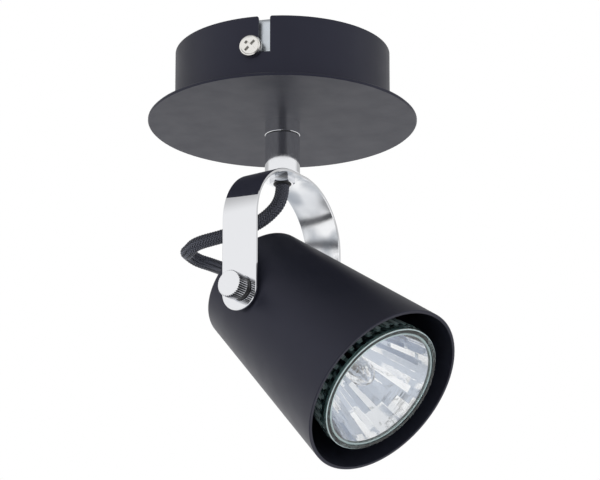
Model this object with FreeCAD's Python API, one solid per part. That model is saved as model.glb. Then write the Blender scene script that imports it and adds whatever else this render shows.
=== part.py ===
import FreeCAD, Part
import math
import os

from FreeCAD import Placement, Rotation, Vector

# Surface mounted ceiling spotlight: a shallow round canopy that twists on to a ceiling
# bracket, a chromed swivel stem and bent strap yoke, and a tapered black head that tilts
# between the legs of the yoke on two knurled screws and holds a two-pin reflector lamp.
#
# Frame: millimetres, +Z up. The origin is the centre of the canopy's rim in the plane of
# the ceiling, and the light hangs towards -Z. The bracket lies along Y.

# ---------------------------------------------------------------- driving dimensions

# canopy: a deep round cup with a wider flat disc under it
CUP_RADIUS = 40.0
CUP_DEPTH = 25.8
CUP_WALL = 1.0
CUP_EDGE_ROUND = 0.6
DISC_RADIUS = 50.0
DISC_THICKNESS = 1.2
DISC_EDGE = 0.4
SPINDLE_CLEARANCE = 0.1

# twist lock: two L shaped slots in the cup's wall and the bracket's two side screws
SLOT_WIDTH = 4.2
SLOT_DROP = 13.9
SLOT_MOUTH_ROUND = 0.8
LOCK_TURN = 7.0

# ceiling bracket: one folded strap
BRACKET_WIDTH = 17.0
BRACKET_SHEET = 1.5
BRACKET_REACH = 37.6
EAR_HEIGHT = 17.0
EAR_CORNER = 2.0
BEND_INSIDE = 0.5
FIXING_SPACING = 50.0
FIXING_SLOT_LENGTH = 12.0
FIXING_SLOT_WIDTH = 4.5
SUPPLY_HOLE_RADIUS = 6.0
EARTH_SCREW_PLACE = 12.5

# small machine screws
M4_RADIUS = 2.0
M3_RADIUS = 1.5
PAN_RADIUS = 4.2
PAN_HEIGHT = 2.0
RECESS_TURN = 45.0
HEAD_STANDOFF = 0.1

# hollow spindle that clamps the canopy and carries the swivel
SPINDLE_RADIUS = 4.0
SPINDLE_BORE = 2.8
SPINDLE_TOP = -19.6
SPINDLE_BOTTOM = -40.4
NUT_ACROSS_FLATS = 12.0
NUT_HEIGHT = 3.0
WASHER_RADIUS = 6.4
WASHER_SHEET = 0.7
TAG_SHEET = 0.6

# swivel stem
STEM_RADIUS = 6.525
COLLAR_HEIGHT = 5.2
SWIVEL_WASHER = 0.3
SWIVEL_GAP = 0.1
SWIVEL_EDGE = 0.15
STEM_SHOULDER = 2.5
STEM_BORE = 5.6
STEM_EDGE_ROUND = 1.0
RETAINER_RADIUS = 5.2
RETAINER_HEIGHT = 2.2
STOP_LUG_HEIGHT = 2.4
STOP_LUG_ANGLE = 16.0
STOP_PIN_RADIUS = 0.6
STOP_PIN_PITCH = 4.75
STOP_PIN_HEIGHT = 4.0
PLUG_HEIGHT = 6.2

# yoke: one strip bent over the end of the stem
YOKE_TURN = 18.1
YOKE_DROP = 21.4
YOKE_HALF_SPAN = 27.5
YOKE_BEND = 23.6
STRIP_WIDTH = 15.0
STRIP = 1.2
LEG_END_DROP = 80.2
PIVOT_DROP = 71.7
PIVOT_HOLE = 2.2
STRIP_CHAMFER = 0.2

# hollow bolt under the yoke, with its liner
BOLT_ACROSS_FLATS = 8.2
BOLT_TURN = 30.0
BOLT_HEAD = 1.6
BOLT_RADIUS = 3.6
BOLT_LENGTH = 6.4
BOLT_BORE = 3.1
LINER_FLANGE = 3.35
LINER_LIP = 0.5

# cable
CABLE_RADIUS = 2.6
CORE_RADIUS = 0.9
CORE_PITCH = 1.35
LEAD_PITCH = 9.0

# head: a tapered shell, open at the front
HEAD_TILT = 42.0
HEAD_FRONT = 59.0
HEAD_REAR = 16.4
FRONT_RADIUS = 33.4
REAR_RADIUS = 22.3
HEAD_WALL = 1.2
REAR_ROUND = 2.0

# pivots in the sides of the head
BOSS_RADIUS = 4.5
BOSS_OUTER = 25.5
BOSS_INNER = 19.8
BOSS_FLANGE = 6.2
BOSS_FLANGE_SHEET = 1.4
BOSS_BORE = 2.05
PIVOT_WASHER_RADIUS = 5.0
PIVOT_GAP = 0.15

# knurled screws
KNOB_RADIUS = 5.0
KNOB_LENGTH = 5.0
KNURL_TEETH = 36
KNURL_DEPTH = 0.45
KNOB_CHAMFER = 0.3
KNOB_WASHER_RADIUS = 4.4
KNOB_WASHER = 1.2
KNOB_WASHER_BORE = 2.1
KNOB_GAP = 0.08
KNOB_SHANK_REACH = 18.0

# grommet in the back of the head
GROMMET_NECK = 4.0
GROMMET_FLANGE = 5.2
GROMMET_LIP = 1.6
GROMMET_INNER_FLANGE = 4.8
GROMMET_INNER_LIP = 1.2

# lamp holder and its bridge
HOLDER_RADIUS = 13.5
HOLDER_FRONT = 11.5
HOLDER_BACK = -4.5
HOLDER_CHAMFER = 0.8
PIN_PITCH_RADIUS = 5.0
PIN_RADIUS = 1.5
PIN_HEAD_RADIUS = 2.5
LAMP_TURN = 20.0
KEYWAY_HALF = 1.75
KEYWAY_CHAMBER_HALF = 2.8
KEYWAY_LIP = 3.6
KEYWAY_DEPTH = 7.4
BRIDGE_WIDTH = 12.0
BRIDGE_SHEET = 1.0
BRIDGE_HALF_HEIGHT = 12.0
BRIDGE_FOOT = 5.0
BRIDGE_SCREW_PLACE = 8.0

# reflector lamp, measured back from its front face: the bulges are points that the
# outside of the glass and its ribs pass through
LAMP_RECESS = 0.2
LAMP_RADIUS = 25.3
LAMP_RIM_DEPTH = 4.2
LAMP_GLASS = 1.3
LAMP_NECK_RADIUS = 9.8
LAMP_NECK_DEPTH = 34.0
LAMP_BULGE = (18.9, -20.0)
LAMP_BASE_RADIUS = 9.5
LAMP_BASE_END = 47.0
LAMP_PIN_LENGTH = 7.0
LAMP_PIN_HEAD = 2.5
COVER_RADIUS = 23.4
COVER_GLASS = 2.2
CAPSULE_RADIUS = 4.4
CAPSULE_TIP = 8.0
DOME_FLAT = 0.6
RIB_COUNT = 36
RIB_WIDTH = 1.7
RIB_BULGE = (19.9, -20.5)
RIB_END = (12.6, -30.2)

# terminal block on the canopy's floor
BLOCK_CENTRE_X = 22.0
BLOCK_LENGTH = 15.0
POLE_PITCH = 8.0
POLES = 3
BLOCK_HEIGHT = 11.0
TOWER_RADIUS = 3.2
TOWER_HEIGHT = 2.0
TOWER_SPACING = 7.0
WIRE_HOLE = 1.9
WIRE_HEIGHT = 4.8

# cord grip on top of the spindle
GRIP_RADIUS = 6.5
GRIP_HEIGHT = 8.6
CORES_RISE = 4.0
CORE_SPREAD = [(0.6, -2.4, 6.0, -6.0), (1.9, 0.7, 7.4, 0.4), (-1.0, 2.4, 4.2, 6.6)]

# ---------------------------------------------------------------- derived places

CUP_FLOOR_Z = -CUP_DEPTH + CUP_WALL
DISC_TOP_Z = -CUP_DEPTH
FACE_Z = DISC_TOP_Z - DISC_THICKNESS
COLLAR_END_Z = FACE_Z - COLLAR_HEIGHT
STEM_TOP_Z = COLLAR_END_Z - SWIVEL_WASHER - SWIVEL_GAP
YOKE_TOP_Z = FACE_Z - YOKE_DROP
YOKE_UNDER_Z = YOKE_TOP_Z - STRIP
PLUG_TOP_Z = YOKE_TOP_Z + PLUG_HEIGHT
PIVOT_Z = FACE_Z - PIVOT_DROP
LEG_END_Z = FACE_Z - LEG_END_DROP
LEG_INNER = YOKE_HALF_SPAN - STRIP
LOCK_Z = -(SLOT_DROP - SLOT_WIDTH / 2)
LINER_END_Z = YOKE_UNDER_Z - BOLT_HEAD - LINER_LIP
CABLE_JOINT_Z = SPINDLE_BOTTOM - 0.6
CABLE_TOP_Z = SPINDLE_TOP + GRIP_HEIGHT
TAPER = (FRONT_RADIUS - REAR_RADIUS) / (HEAD_FRONT + HEAD_REAR)
LAMP_FACE = HEAD_FRONT - LAMP_RECESS
GROMMET_FACE = HEAD_REAR + GROMMET_LIP

ORIGIN = Vector(0, 0, 0)
X_AXIS = Vector(1, 0, 0)
Y_AXIS = Vector(0, 1, 0)
Z_AXIS = Vector(0, 0, 1)

# The yoke's own frame has +X where the head looks and -Y on its right-hand leg. The
# head's own frame has its origin on the pivot line and +X along the beam.
YOKE_FRAME = Placement(ORIGIN, Rotation(Z_AXIS, -YOKE_TURN))
PIVOT = Vector(0, 0, PIVOT_Z)
HEAD_FRAME = YOKE_FRAME.multiply(Placement(PIVOT, Rotation(Y_AXIS, HEAD_TILT)))


def behind_head(distance):
    """Point in the yoke's frame on the head's axis, so far behind the pivot."""
    tilt = math.radians(HEAD_TILT)
    return (-distance * math.cos(tilt), 0.0, PIVOT_Z + distance * math.sin(tilt))


# Route of the braided cable in the yoke's frame, from the hollow bolt to the grommet: down,
# back between the legs, round a tight loop behind the head and into its rear face. Each
# point is how far it lies towards the beam, towards the left leg, and up.
CABLE_ROUTE = [
    (0.0, 0.0, LINER_END_Z),
    (0.0, 0.0, LINER_END_Z - 5.8),
    (-5.4, -2.5, FACE_Z - 37.1),
    (-13.9, -2.5, FACE_Z - 39.6),
    (-23.0, -6.1, FACE_Z - 42.0),
    (-32.9, -9.2, FACE_Z - 43.7),
    (-38.6, -6.0, FACE_Z - 45.2),
    (-43.9, 0.6, FACE_Z - 42.3),
    (-44.3, 7.1, FACE_Z - 43.5),
    (-39.0, 11.0, FACE_Z - 45.5),
    (-28.7, 6.4, FACE_Z - 51.0),
    behind_head(GROMMET_FACE + 6.5),
    behind_head(GROMMET_FACE),
]


# ---------------------------------------------------------------- helpers

def outline(start, *steps):
    """Closed outline of (radius, height) points in the XZ plane, as a face.

    A step is the next point, or a (middle point, end point) pair for an arc.
    """
    here = Vector(start[0], 0, start[1])
    edges = []
    for step in list(steps) + [start]:
        if isinstance(step[0], tuple):
            middle = Vector(step[0][0], 0, step[0][1])
            there = Vector(step[1][0], 0, step[1][1])
            edges.append(Part.Arc(here, middle, there).toShape())
        else:
            there = Vector(step[0], 0, step[1])
            edges.append(Part.LineSegment(here, there).toShape())
        here = there
    return Part.Face(Part.Wire(edges))


def turned(start, *steps):
    """Solid turned about Z from a closed outline."""
    return outline(start, *steps).revolve(ORIGIN, Z_AXIS, 360)


def ring(inner, outer, low, high):
    """Plain ring, or a plain round bar when the inner radius is zero."""
    return turned((inner, low), (outer, low), (outer, high), (inner, high))


def bar(radius, low, high):
    return Part.makeCylinder(radius, high - low, Vector(0, 0, low))


def block(low, high):
    return Part.makeBox(high[0] - low[0], high[1] - low[1], high[2] - low[2], Vector(*low))


def hexagon(across_flats, low, high):
    """Hexagonal bar along Z, with two corners on the X axis."""
    corner = across_flats / 2 / math.cos(math.pi / 6)
    points = [Vector(corner * math.cos(math.radians(60 * k)),
                     corner * math.sin(math.radians(60 * k)), low) for k in range(7)]
    return Part.Face(Part.makePolygon(points)).extrude(Vector(0, 0, high - low))


def placed(shape, frame):
    """Copy of a shape, carried into another frame."""
    moved = shape.copy()
    moved.Placement = frame.multiply(moved.Placement)
    return moved


def facing(direction, distance=0.0, height=0.0):
    """Frame whose +Z points along a level direction, given in degrees about Z from +X."""
    return Placement(Vector(0, 0, height), Rotation(Z_AXIS, direction)).multiply(
        Placement(Vector(distance, 0, 0), Rotation(Y_AXIS, 90)))


def along_beam(shape):
    """Turn a shape built about Z so that its +Z becomes the head frame's +X."""
    return placed(shape, Placement(ORIGIN, Rotation(Y_AXIS, 90)))


def on_head(shape):
    return placed(shape, HEAD_FRAME)


def sector(inner, outer, low, high, start, end):
    """Part of a ring about Z between two angles in degrees."""
    profile = Part.makePolygon([Vector(inner, 0, low), Vector(outer, 0, low),
                                Vector(outer, 0, high), Vector(inner, 0, high),
                                Vector(inner, 0, low)])
    swept = Part.Face(profile).revolve(ORIGIN, Z_AXIS, end - start)
    return placed(swept, Placement(ORIGIN, Rotation(Z_AXIS, start)))


def arc_slot(pitch, half, low, high, start, end):
    """Round-ended slot that follows a circle about Z."""
    slot = sector(pitch - half, pitch + half, low, high, start, end)
    for angle in (start, end):
        place = Vector(pitch * math.cos(math.radians(angle)),
                       pitch * math.sin(math.radians(angle)), 0)
        slot = slot.fuse(placed(bar(half, low, high), Placement(place, Rotation())))
    return slot


def rounded_path(points):
    """Wire of straight runs joined by tangent arcs, and the radius of every arc.

    Each arc is as large as its two runs allow: it takes 0.45 of the shorter one.
    """
    points = [Vector(*point) for point in points]
    edges = []
    radii = []
    here = points[0]
    for before, corner, after in zip(points, points[1:], points[2:]):
        back = (before - corner).normalize()
        onward = (after - corner).normalize()
        reach = 0.45 * min((before - corner).Length, (after - corner).Length)
        half_turn = (math.pi - back.getAngle(onward)) / 2
        radius = reach / math.tan(half_turn)
        start = corner + back * reach
        end = corner + onward * reach
        inward = (back + onward).normalize()
        middle = corner + inward * (radius / math.cos(half_turn) - radius)
        edges.append(Part.LineSegment(here, start).toShape())
        edges.append(Part.Arc(start, middle, end).toShape())
        radii.append(radius)
        here = end
    edges.append(Part.LineSegment(here, points[-1]).toShape())
    return Part.Wire(edges), radii


def tube(points, radius):
    """Round bar along a route, with the radius of every arc and the length of its path."""
    path, radii = rounded_path(points)
    start = Vector(*points[0])
    section = Part.Wire(Part.makeCircle(radius, start, Vector(*points[1]) - start))
    return path.makePipeShell([section], True, True), radii, path.Length


def cross_recess(face_z, width, reach, depth):
    """Cutter for a cross recess in a screw's head that faces +Z."""
    arm = block((-reach, -width / 2, face_z - depth), (reach, width / 2, face_z + 1))
    other = block((-width / 2, -reach, face_z - depth), (width / 2, reach, face_z + 1))
    return arm.fuse(other)


def pan_screw(radius, head_radius, head_height, shank):
    """Pan head screw with its bearing face on z = 0 and its shank towards -Z."""
    dish = 0.3
    head = turned((0, 0), (head_radius, 0), (head_radius, 0.5 * head_height),
                  (0.93 * head_radius, 0.9 * head_height), (0.84 * head_radius, head_height),
                  (0.76 * head_radius, head_height - dish), (0, head_height - dish))
    screw = head.fuse(bar(radius, -shank, 0))
    recess = cross_recess(head_height - dish, 0.28 * head_radius, 0.6 * head_radius,
                          0.5 * head_height)
    return screw.cut(recess)


# ---------------------------------------------------------------- ceiling bracket

def mounting_bracket():
    half = BRACKET_WIDTH / 2
    reach = BRACKET_REACH
    strap = block((-half, -reach, -EAR_HEIGHT), (half, reach, 0))
    inside = block((-half, -reach + BRACKET_SHEET, -EAR_HEIGHT),
                   (half, reach - BRACKET_SHEET, -BRACKET_SHEET))
    strap = strap.cut(inside)
    inner_bends = [edge for edge in strap.Edges
                   if abs(edge.BoundBox.ZMin + BRACKET_SHEET) < 0.01
                   and edge.BoundBox.XLength > half and edge.BoundBox.YLength < 0.1]
    strap = strap.makeFillet(BEND_INSIDE, inner_bends)
    outer_bends = [edge for edge in strap.Edges
                   if abs(edge.BoundBox.YMin) > reach - 0.1 and edge.BoundBox.ZMin > -0.1
                   and edge.BoundBox.XLength > half]
    strap = strap.makeFillet(BEND_INSIDE + BRACKET_SHEET, outer_bends)
    ear_corners = [edge for edge in strap.Edges
                   if edge.BoundBox.ZMax < -EAR_HEIGHT + 0.1 and edge.BoundBox.XLength < 0.1]
    strap = strap.makeFillet(EAR_CORNER, ear_corners)
    for side in (-1, 1):
        strap = strap.cut(placed(bar(M4_RADIUS, reach - 5, reach + 5), facing(90 * side, 0, LOCK_Z)))
        slot_reach = (FIXING_SLOT_LENGTH - FIXING_SLOT_WIDTH) / 2
        centre = side * FIXING_SPACING / 2
        radius = FIXING_SLOT_WIDTH / 2
        slot = block((-radius, centre - slot_reach, -5), (radius, centre + slot_reach, 5))
        for end in (-slot_reach, slot_reach):
            slot = slot.fuse(placed(bar(radius, -5, 5),
                                    Placement(Vector(0, centre + end, 0), Rotation())))
        strap = strap.cut(slot)
    strap = strap.cut(bar(SUPPLY_HOLE_RADIUS, -5, 5))
    earth_hole = Placement(Vector(0, EARTH_SCREW_PLACE, 0), Rotation())
    return strap.cut(placed(bar(M4_RADIUS, -5, 5), earth_hole))


def canopy_screws():
    bearing = CUP_RADIUS + HEAD_STANDOFF
    screw = pan_screw(M4_RADIUS, PAN_RADIUS, PAN_HEIGHT, shank=7.0)
    screw = placed(screw, Placement(ORIGIN, Rotation(Z_AXIS, RECESS_TURN)))
    return Part.makeCompound([placed(screw, facing(90 * side, bearing, LOCK_Z))
                              for side in (-1, 1)])


def earth_washer():
    seat = -BRACKET_SHEET
    washer = ring(M4_RADIUS + 0.2, PAN_RADIUS + 0.8, seat - 0.8, seat)
    return placed(washer, Placement(Vector(0, EARTH_SCREW_PLACE, 0), Rotation()))


def earth_screw():
    screw = pan_screw(M4_RADIUS, PAN_RADIUS - 0.3, PAN_HEIGHT, shank=BRACKET_SHEET + 0.8)
    seat = Vector(0, EARTH_SCREW_PLACE, -BRACKET_SHEET - 0.8)
    return placed(screw, Placement(seat, Rotation(X_AXIS, 180)))


# ---------------------------------------------------------------- canopy

def lock_slot():
    """Cutter for one L shaped slot, on the -Y side: the screw rests at its closed end."""
    half = SLOT_WIDTH / 2
    mouth = half + SLOT_MOUTH_ROUND
    corner = SLOT_MOUTH_ROUND * (1 - math.sqrt(0.5))
    face = outline((-mouth, 0), ((-half - corner, -corner), (-half, -SLOT_MOUTH_ROUND)),
                   (-half, -SLOT_DROP), (half, -SLOT_DROP), (half, -SLOT_MOUTH_ROUND),
                   ((half + corner, -corner), (mouth, 0)))
    depth = 4 * CUP_WALL
    leg = face.extrude(Vector(0, -depth, 0))
    leg = placed(leg, Placement(Vector(0, -CUP_RADIUS + depth / 2, 0), Rotation()))
    leg = placed(leg, Placement(ORIGIN, Rotation(Z_AXIS, LOCK_TURN)))
    rail = sector(CUP_RADIUS - depth / 2, CUP_RADIUS + depth / 2, -SLOT_DROP,
                  -SLOT_DROP + SLOT_WIDTH, -90, -90 + LOCK_TURN)
    end = placed(bar(half, CUP_RADIUS - depth / 2, CUP_RADIUS + depth / 2),
                 facing(-90, 0, LOCK_Z))
    return leg.fuse(rail).fuse(end)


def canopy_cup():
    inner = CUP_RADIUS - CUP_WALL
    bore = SPINDLE_RADIUS + SPINDLE_CLEARANCE
    low = DISC_TOP_Z
    bend = CUP_EDGE_ROUND * (1 - math.sqrt(0.5))
    block_hole = Placement(Vector(BLOCK_CENTRE_X, POLE_PITCH / 2, 0), Rotation())
    cup = turned((bore, low), (CUP_RADIUS - CUP_EDGE_ROUND, low),
                 ((CUP_RADIUS - bend, low + bend), (CUP_RADIUS, low + CUP_EDGE_ROUND)),
                 (CUP_RADIUS, 0), (inner, 0), (inner, CUP_FLOOR_Z), (bore, CUP_FLOOR_Z))
    slot = lock_slot()
    opposite = placed(slot, Placement(ORIGIN, Rotation(Z_AXIS, 180)))
    cup = cup.cut(slot).cut(opposite)
    return cup.cut(placed(bar(M3_RADIUS, low - 1, CUP_FLOOR_Z + 1), block_hole))


def canopy_disc():
    bore = SPINDLE_RADIUS + SPINDLE_CLEARANCE
    rim = DISC_RADIUS - DISC_EDGE
    return turned((bore, FACE_Z), (rim, FACE_Z), (DISC_RADIUS, FACE_Z + DISC_EDGE),
                  (DISC_RADIUS, DISC_TOP_Z - DISC_EDGE), (rim, DISC_TOP_Z), (bore, DISC_TOP_Z))


def stem_collar():
    edge = SWIVEL_EDGE
    return turned((SPINDLE_RADIUS, COLLAR_END_Z), (STEM_RADIUS - edge, COLLAR_END_Z),
                  (STEM_RADIUS, COLLAR_END_Z + edge), (STEM_RADIUS, FACE_Z),
                  (SPINDLE_RADIUS, FACE_Z))


def swivel_washer():
    return ring(SPINDLE_RADIUS, STEM_RADIUS - 0.3, COLLAR_END_Z - SWIVEL_WASHER, COLLAR_END_Z)


def spindle():
    return ring(SPINDLE_BORE, SPINDLE_RADIUS, SPINDLE_BOTTOM, SPINDLE_TOP)


def lock_washer():
    low = CUP_FLOOR_Z
    washer = ring(SPINDLE_RADIUS, WASHER_RADIUS, low, low + WASHER_SHEET)
    teeth = 12
    for k in range(teeth):
        notch = block((WASHER_RADIUS - 1.1, -0.4, low - 1), (WASHER_RADIUS + 1, 0.4, low + 2))
        washer = washer.cut(placed(notch, Placement(ORIGIN, Rotation(Z_AXIS, 360 * k / teeth))))
    return washer


def earth_tag():
    low = CUP_FLOOR_Z + WASHER_SHEET
    high = low + TAG_SHEET
    tongue = placed(block((0, -2, low), (13, 2, high)), Placement(ORIGIN, Rotation(Z_AXIS, -50)))
    tag = ring(0, WASHER_RADIUS - 0.2, low, high).fuse(tongue)
    return tag.cut(bar(SPINDLE_RADIUS, low - 1, high + 1))


def spindle_nut():
    low = CUP_FLOOR_Z + WASHER_SHEET + TAG_SHEET
    nut = hexagon(NUT_ACROSS_FLATS, low, low + NUT_HEIGHT)
    corner = NUT_ACROSS_FLATS / 2 / math.cos(math.pi / 6)
    edge = corner - NUT_ACROSS_FLATS / 2
    form = turned((0, low - 1), (corner, low - 1), (corner, low + NUT_HEIGHT - edge / 2),
                  (corner - edge, low + NUT_HEIGHT), (0, low + NUT_HEIGHT))
    return nut.common(form).cut(bar(SPINDLE_RADIUS, low - 1, low + NUT_HEIGHT + 1))


def swivel_retainer():
    """Collar on the spindle's end that carries the stem, with the lug of the turn stop."""
    high = STEM_TOP_Z - STEM_SHOULDER - 0.2
    low = high - RETAINER_HEIGHT
    collar = ring(SPINDLE_RADIUS, RETAINER_RADIUS, low, high)
    lug = sector(SPINDLE_RADIUS, RETAINER_RADIUS, low - STOP_LUG_HEIGHT, low + 0.5,
                 180 - YOKE_TURN - STOP_LUG_ANGLE / 2, 180 - YOKE_TURN + STOP_LUG_ANGLE / 2)
    return collar.fuse(lug)


def cord_grip():
    """Insulating sleeve on top of the spindle that holds the cable, with its clamp screw."""
    low = CUP_FLOOR_Z + WASHER_SHEET + TAG_SHEET + NUT_HEIGHT
    high = SPINDLE_TOP + GRIP_HEIGHT - 1.0
    sleeve = turned((CABLE_RADIUS, SPINDLE_TOP), (SPINDLE_RADIUS, SPINDLE_TOP),
                    (SPINDLE_RADIUS, low), (GRIP_RADIUS, low), (GRIP_RADIUS, high - 2.0),
                    (GRIP_RADIUS - 1.5, high), (CABLE_RADIUS, high))
    centre = (SPINDLE_TOP + high) / 2
    hole = placed(bar(1.8, CABLE_RADIUS, GRIP_RADIUS + 1), facing(180, 0, centre))
    return sleeve.cut(hole)


def grip_screw():
    centre = (SPINDLE_TOP + SPINDLE_TOP + GRIP_HEIGHT - 1.0) / 2
    screw = bar(1.8, CABLE_RADIUS + 0.2, GRIP_RADIUS + 0.6)
    slot = block((-0.4, -3, GRIP_RADIUS - 0.2), (0.4, 3, GRIP_RADIUS + 2))
    return placed(screw.cut(slot), facing(180, 0, centre))


def canopy_cable():
    return bar(CABLE_RADIUS, CABLE_JOINT_Z, CABLE_TOP_Z)


def pole_places():
    return [POLE_PITCH * (k - (POLES - 1) / 2) for k in range(POLES)]


def terminal_block():
    low = CUP_FLOOR_Z
    top = low + BLOCK_HEIGHT
    half = BLOCK_LENGTH / 2
    left = BLOCK_CENTRE_X - half
    body = None
    for y in pole_places():
        pole = block((left, y - POLE_PITCH / 2 + 0.6, low + 1),
                     (left + BLOCK_LENGTH, y + POLE_PITCH / 2 - 0.6, top))
        for x in (-TOWER_SPACING / 2, TOWER_SPACING / 2):
            tower = Placement(Vector(BLOCK_CENTRE_X + x, y, 0), Rotation())
            pole = pole.fuse(placed(bar(TOWER_RADIUS, low + 1, top + TOWER_HEIGHT), tower))
        body = pole if body is None else body.fuse(pole)
    span = POLES * POLE_PITCH / 2
    web = block((left + 3, -span + 1, low), (left + BLOCK_LENGTH - 3, span - 1, top - 3))
    body = body.fuse(web)
    for y in pole_places():
        wire = Placement(Vector(left - 1, y, low + WIRE_HEIGHT), Rotation(Y_AXIS, 90))
        body = body.cut(placed(bar(WIRE_HOLE, 0, BLOCK_LENGTH + 2), wire))
        for x in (-TOWER_SPACING / 2, TOWER_SPACING / 2):
            tower = Placement(Vector(BLOCK_CENTRE_X + x, y, 0), Rotation())
            body = body.cut(placed(bar(M4_RADIUS, low + WIRE_HEIGHT, top + 5), tower))
    fixing = Placement(Vector(BLOCK_CENTRE_X, POLE_PITCH / 2, 0), Rotation())
    sunk = bar(M3_RADIUS, low - 1, top + 5).fuse(bar(M3_RADIUS + 0.6, top - 3, top + 5))
    return body.cut(placed(sunk, fixing)).removeSplitter()


def terminal_screws():
    top = CUP_FLOOR_Z + BLOCK_HEIGHT
    low = CUP_FLOOR_Z + WIRE_HEIGHT + CORE_RADIUS
    screw = bar(M4_RADIUS, low, top + 0.6)
    screw = screw.cut(block((-3, -0.4, top - 0.4), (3, 0.4, top + 1)))
    return Part.makeCompound([
        placed(screw, Placement(Vector(BLOCK_CENTRE_X + x, y, 0), Rotation()))
        for y in pole_places() for x in (-TOWER_SPACING / 2, TOWER_SPACING / 2)])


def block_screw():
    seat = CUP_FLOOR_Z + BLOCK_HEIGHT - 3
    screw = bar(M3_RADIUS, DISC_TOP_Z + 0.2, seat).fuse(bar(M3_RADIUS + 0.5, seat, seat + 1.6))
    screw = screw.cut(block((-3, -0.35, seat + 0.9), (3, 0.35, seat + 2)))
    return placed(screw, Placement(Vector(BLOCK_CENTRE_X, POLE_PITCH / 2, 0), Rotation()))


def core_wire(index):
    """One insulated core, from the end of the sheath into its pole of the block."""
    angle = math.radians(120 * index - 90)
    start_x = CORE_PITCH * math.cos(angle)
    start_y = CORE_PITCH * math.sin(angle)
    pole_y = pole_places()[index] + (CORE_RADIUS + 0.05 if index == 0 else 0)
    wire_z = CUP_FLOOR_Z + WIRE_HEIGHT
    left = BLOCK_CENTRE_X - BLOCK_LENGTH / 2
    crown = CABLE_TOP_Z + CORES_RISE
    crown_x, crown_y, reach_x, reach_y = CORE_SPREAD[index]
    route = [(start_x, start_y, CABLE_TOP_Z), (start_x, start_y, CABLE_TOP_Z + 1.4),
             (crown_x, crown_y, crown),
             (reach_x, reach_y, crown - 1.0), (left - 4.0, pole_y, wire_z + 0.4),
             (left + 2.2, pole_y, wire_z)]
    return tube(route, CORE_RADIUS)[0]


def bonding_wire():
    """Short earth lead from the tag to the earth pole."""
    high = CUP_FLOOR_Z + WASHER_SHEET + TAG_SHEET
    left = BLOCK_CENTRE_X - BLOCK_LENGTH / 2
    pole_y = pole_places()[0] - CORE_RADIUS - 0.05
    tip = Rotation(Z_AXIS, -50).multVec(Vector(11.2, 0, 0))
    route = [(tip.x, tip.y, high), (tip.x, tip.y, high + 2.4),
             (left - 3.0, pole_y, CUP_FLOOR_Z + WIRE_HEIGHT - 0.3),
             (left + 2.2, pole_y, CUP_FLOOR_Z + WIRE_HEIGHT)]
    return tube(route, CORE_RADIUS)[0]


# ---------------------------------------------------------------- stem and yoke

def stem_tube():
    """Turned stem: an inward shoulder at its top hangs on the retainer."""
    bore = SPINDLE_RADIUS + 0.06
    low = YOKE_TOP_Z
    edge = SWIVEL_EDGE
    bend = STEM_EDGE_ROUND * (1 - math.sqrt(0.5))
    shoulder = STEM_TOP_Z - STEM_SHOULDER
    return turned((bore, STEM_TOP_Z), (STEM_RADIUS - edge, STEM_TOP_Z),
                  (STEM_RADIUS, STEM_TOP_Z - edge), (STEM_RADIUS, low + STEM_EDGE_ROUND),
                  ((STEM_RADIUS - bend, low + bend), (STEM_RADIUS - STEM_EDGE_ROUND, low)),
                  (STEM_BORE - 0.3, low), (STEM_BORE, low + 0.3), (STEM_BORE, shoulder),
                  (bore, shoulder))


def stem_plug():
    edge = 0.3
    plug = turned((BOLT_RADIUS, YOKE_TOP_Z), (STEM_BORE - edge, YOKE_TOP_Z),
                  (STEM_BORE, YOKE_TOP_Z + edge), (STEM_BORE, PLUG_TOP_Z), (BOLT_RADIUS, PLUG_TOP_Z))
    seat = Placement(Vector(STOP_PIN_PITCH, 0, 0), Rotation())
    return plug.cut(placed(bar(STOP_PIN_RADIUS, PLUG_TOP_Z - 2, PLUG_TOP_Z + 1), seat))


def stop_pin():
    pin = bar(STOP_PIN_RADIUS, PLUG_TOP_Z - 2, PLUG_TOP_Z + STOP_PIN_HEIGHT)
    return placed(pin, Placement(Vector(STOP_PIN_PITCH, 0, 0), Rotation()))


def runs_along_strip(edge):
    """Whether an edge of the bent strip follows its side or goes round one of its ends."""
    box = edge.BoundBox
    side = box.YLength < 0.01 and edge.Length > 2 * STRIP
    tip = box.XLength < 0.01 and isinstance(edge.Curve, Part.Circle)
    return side or tip


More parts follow.
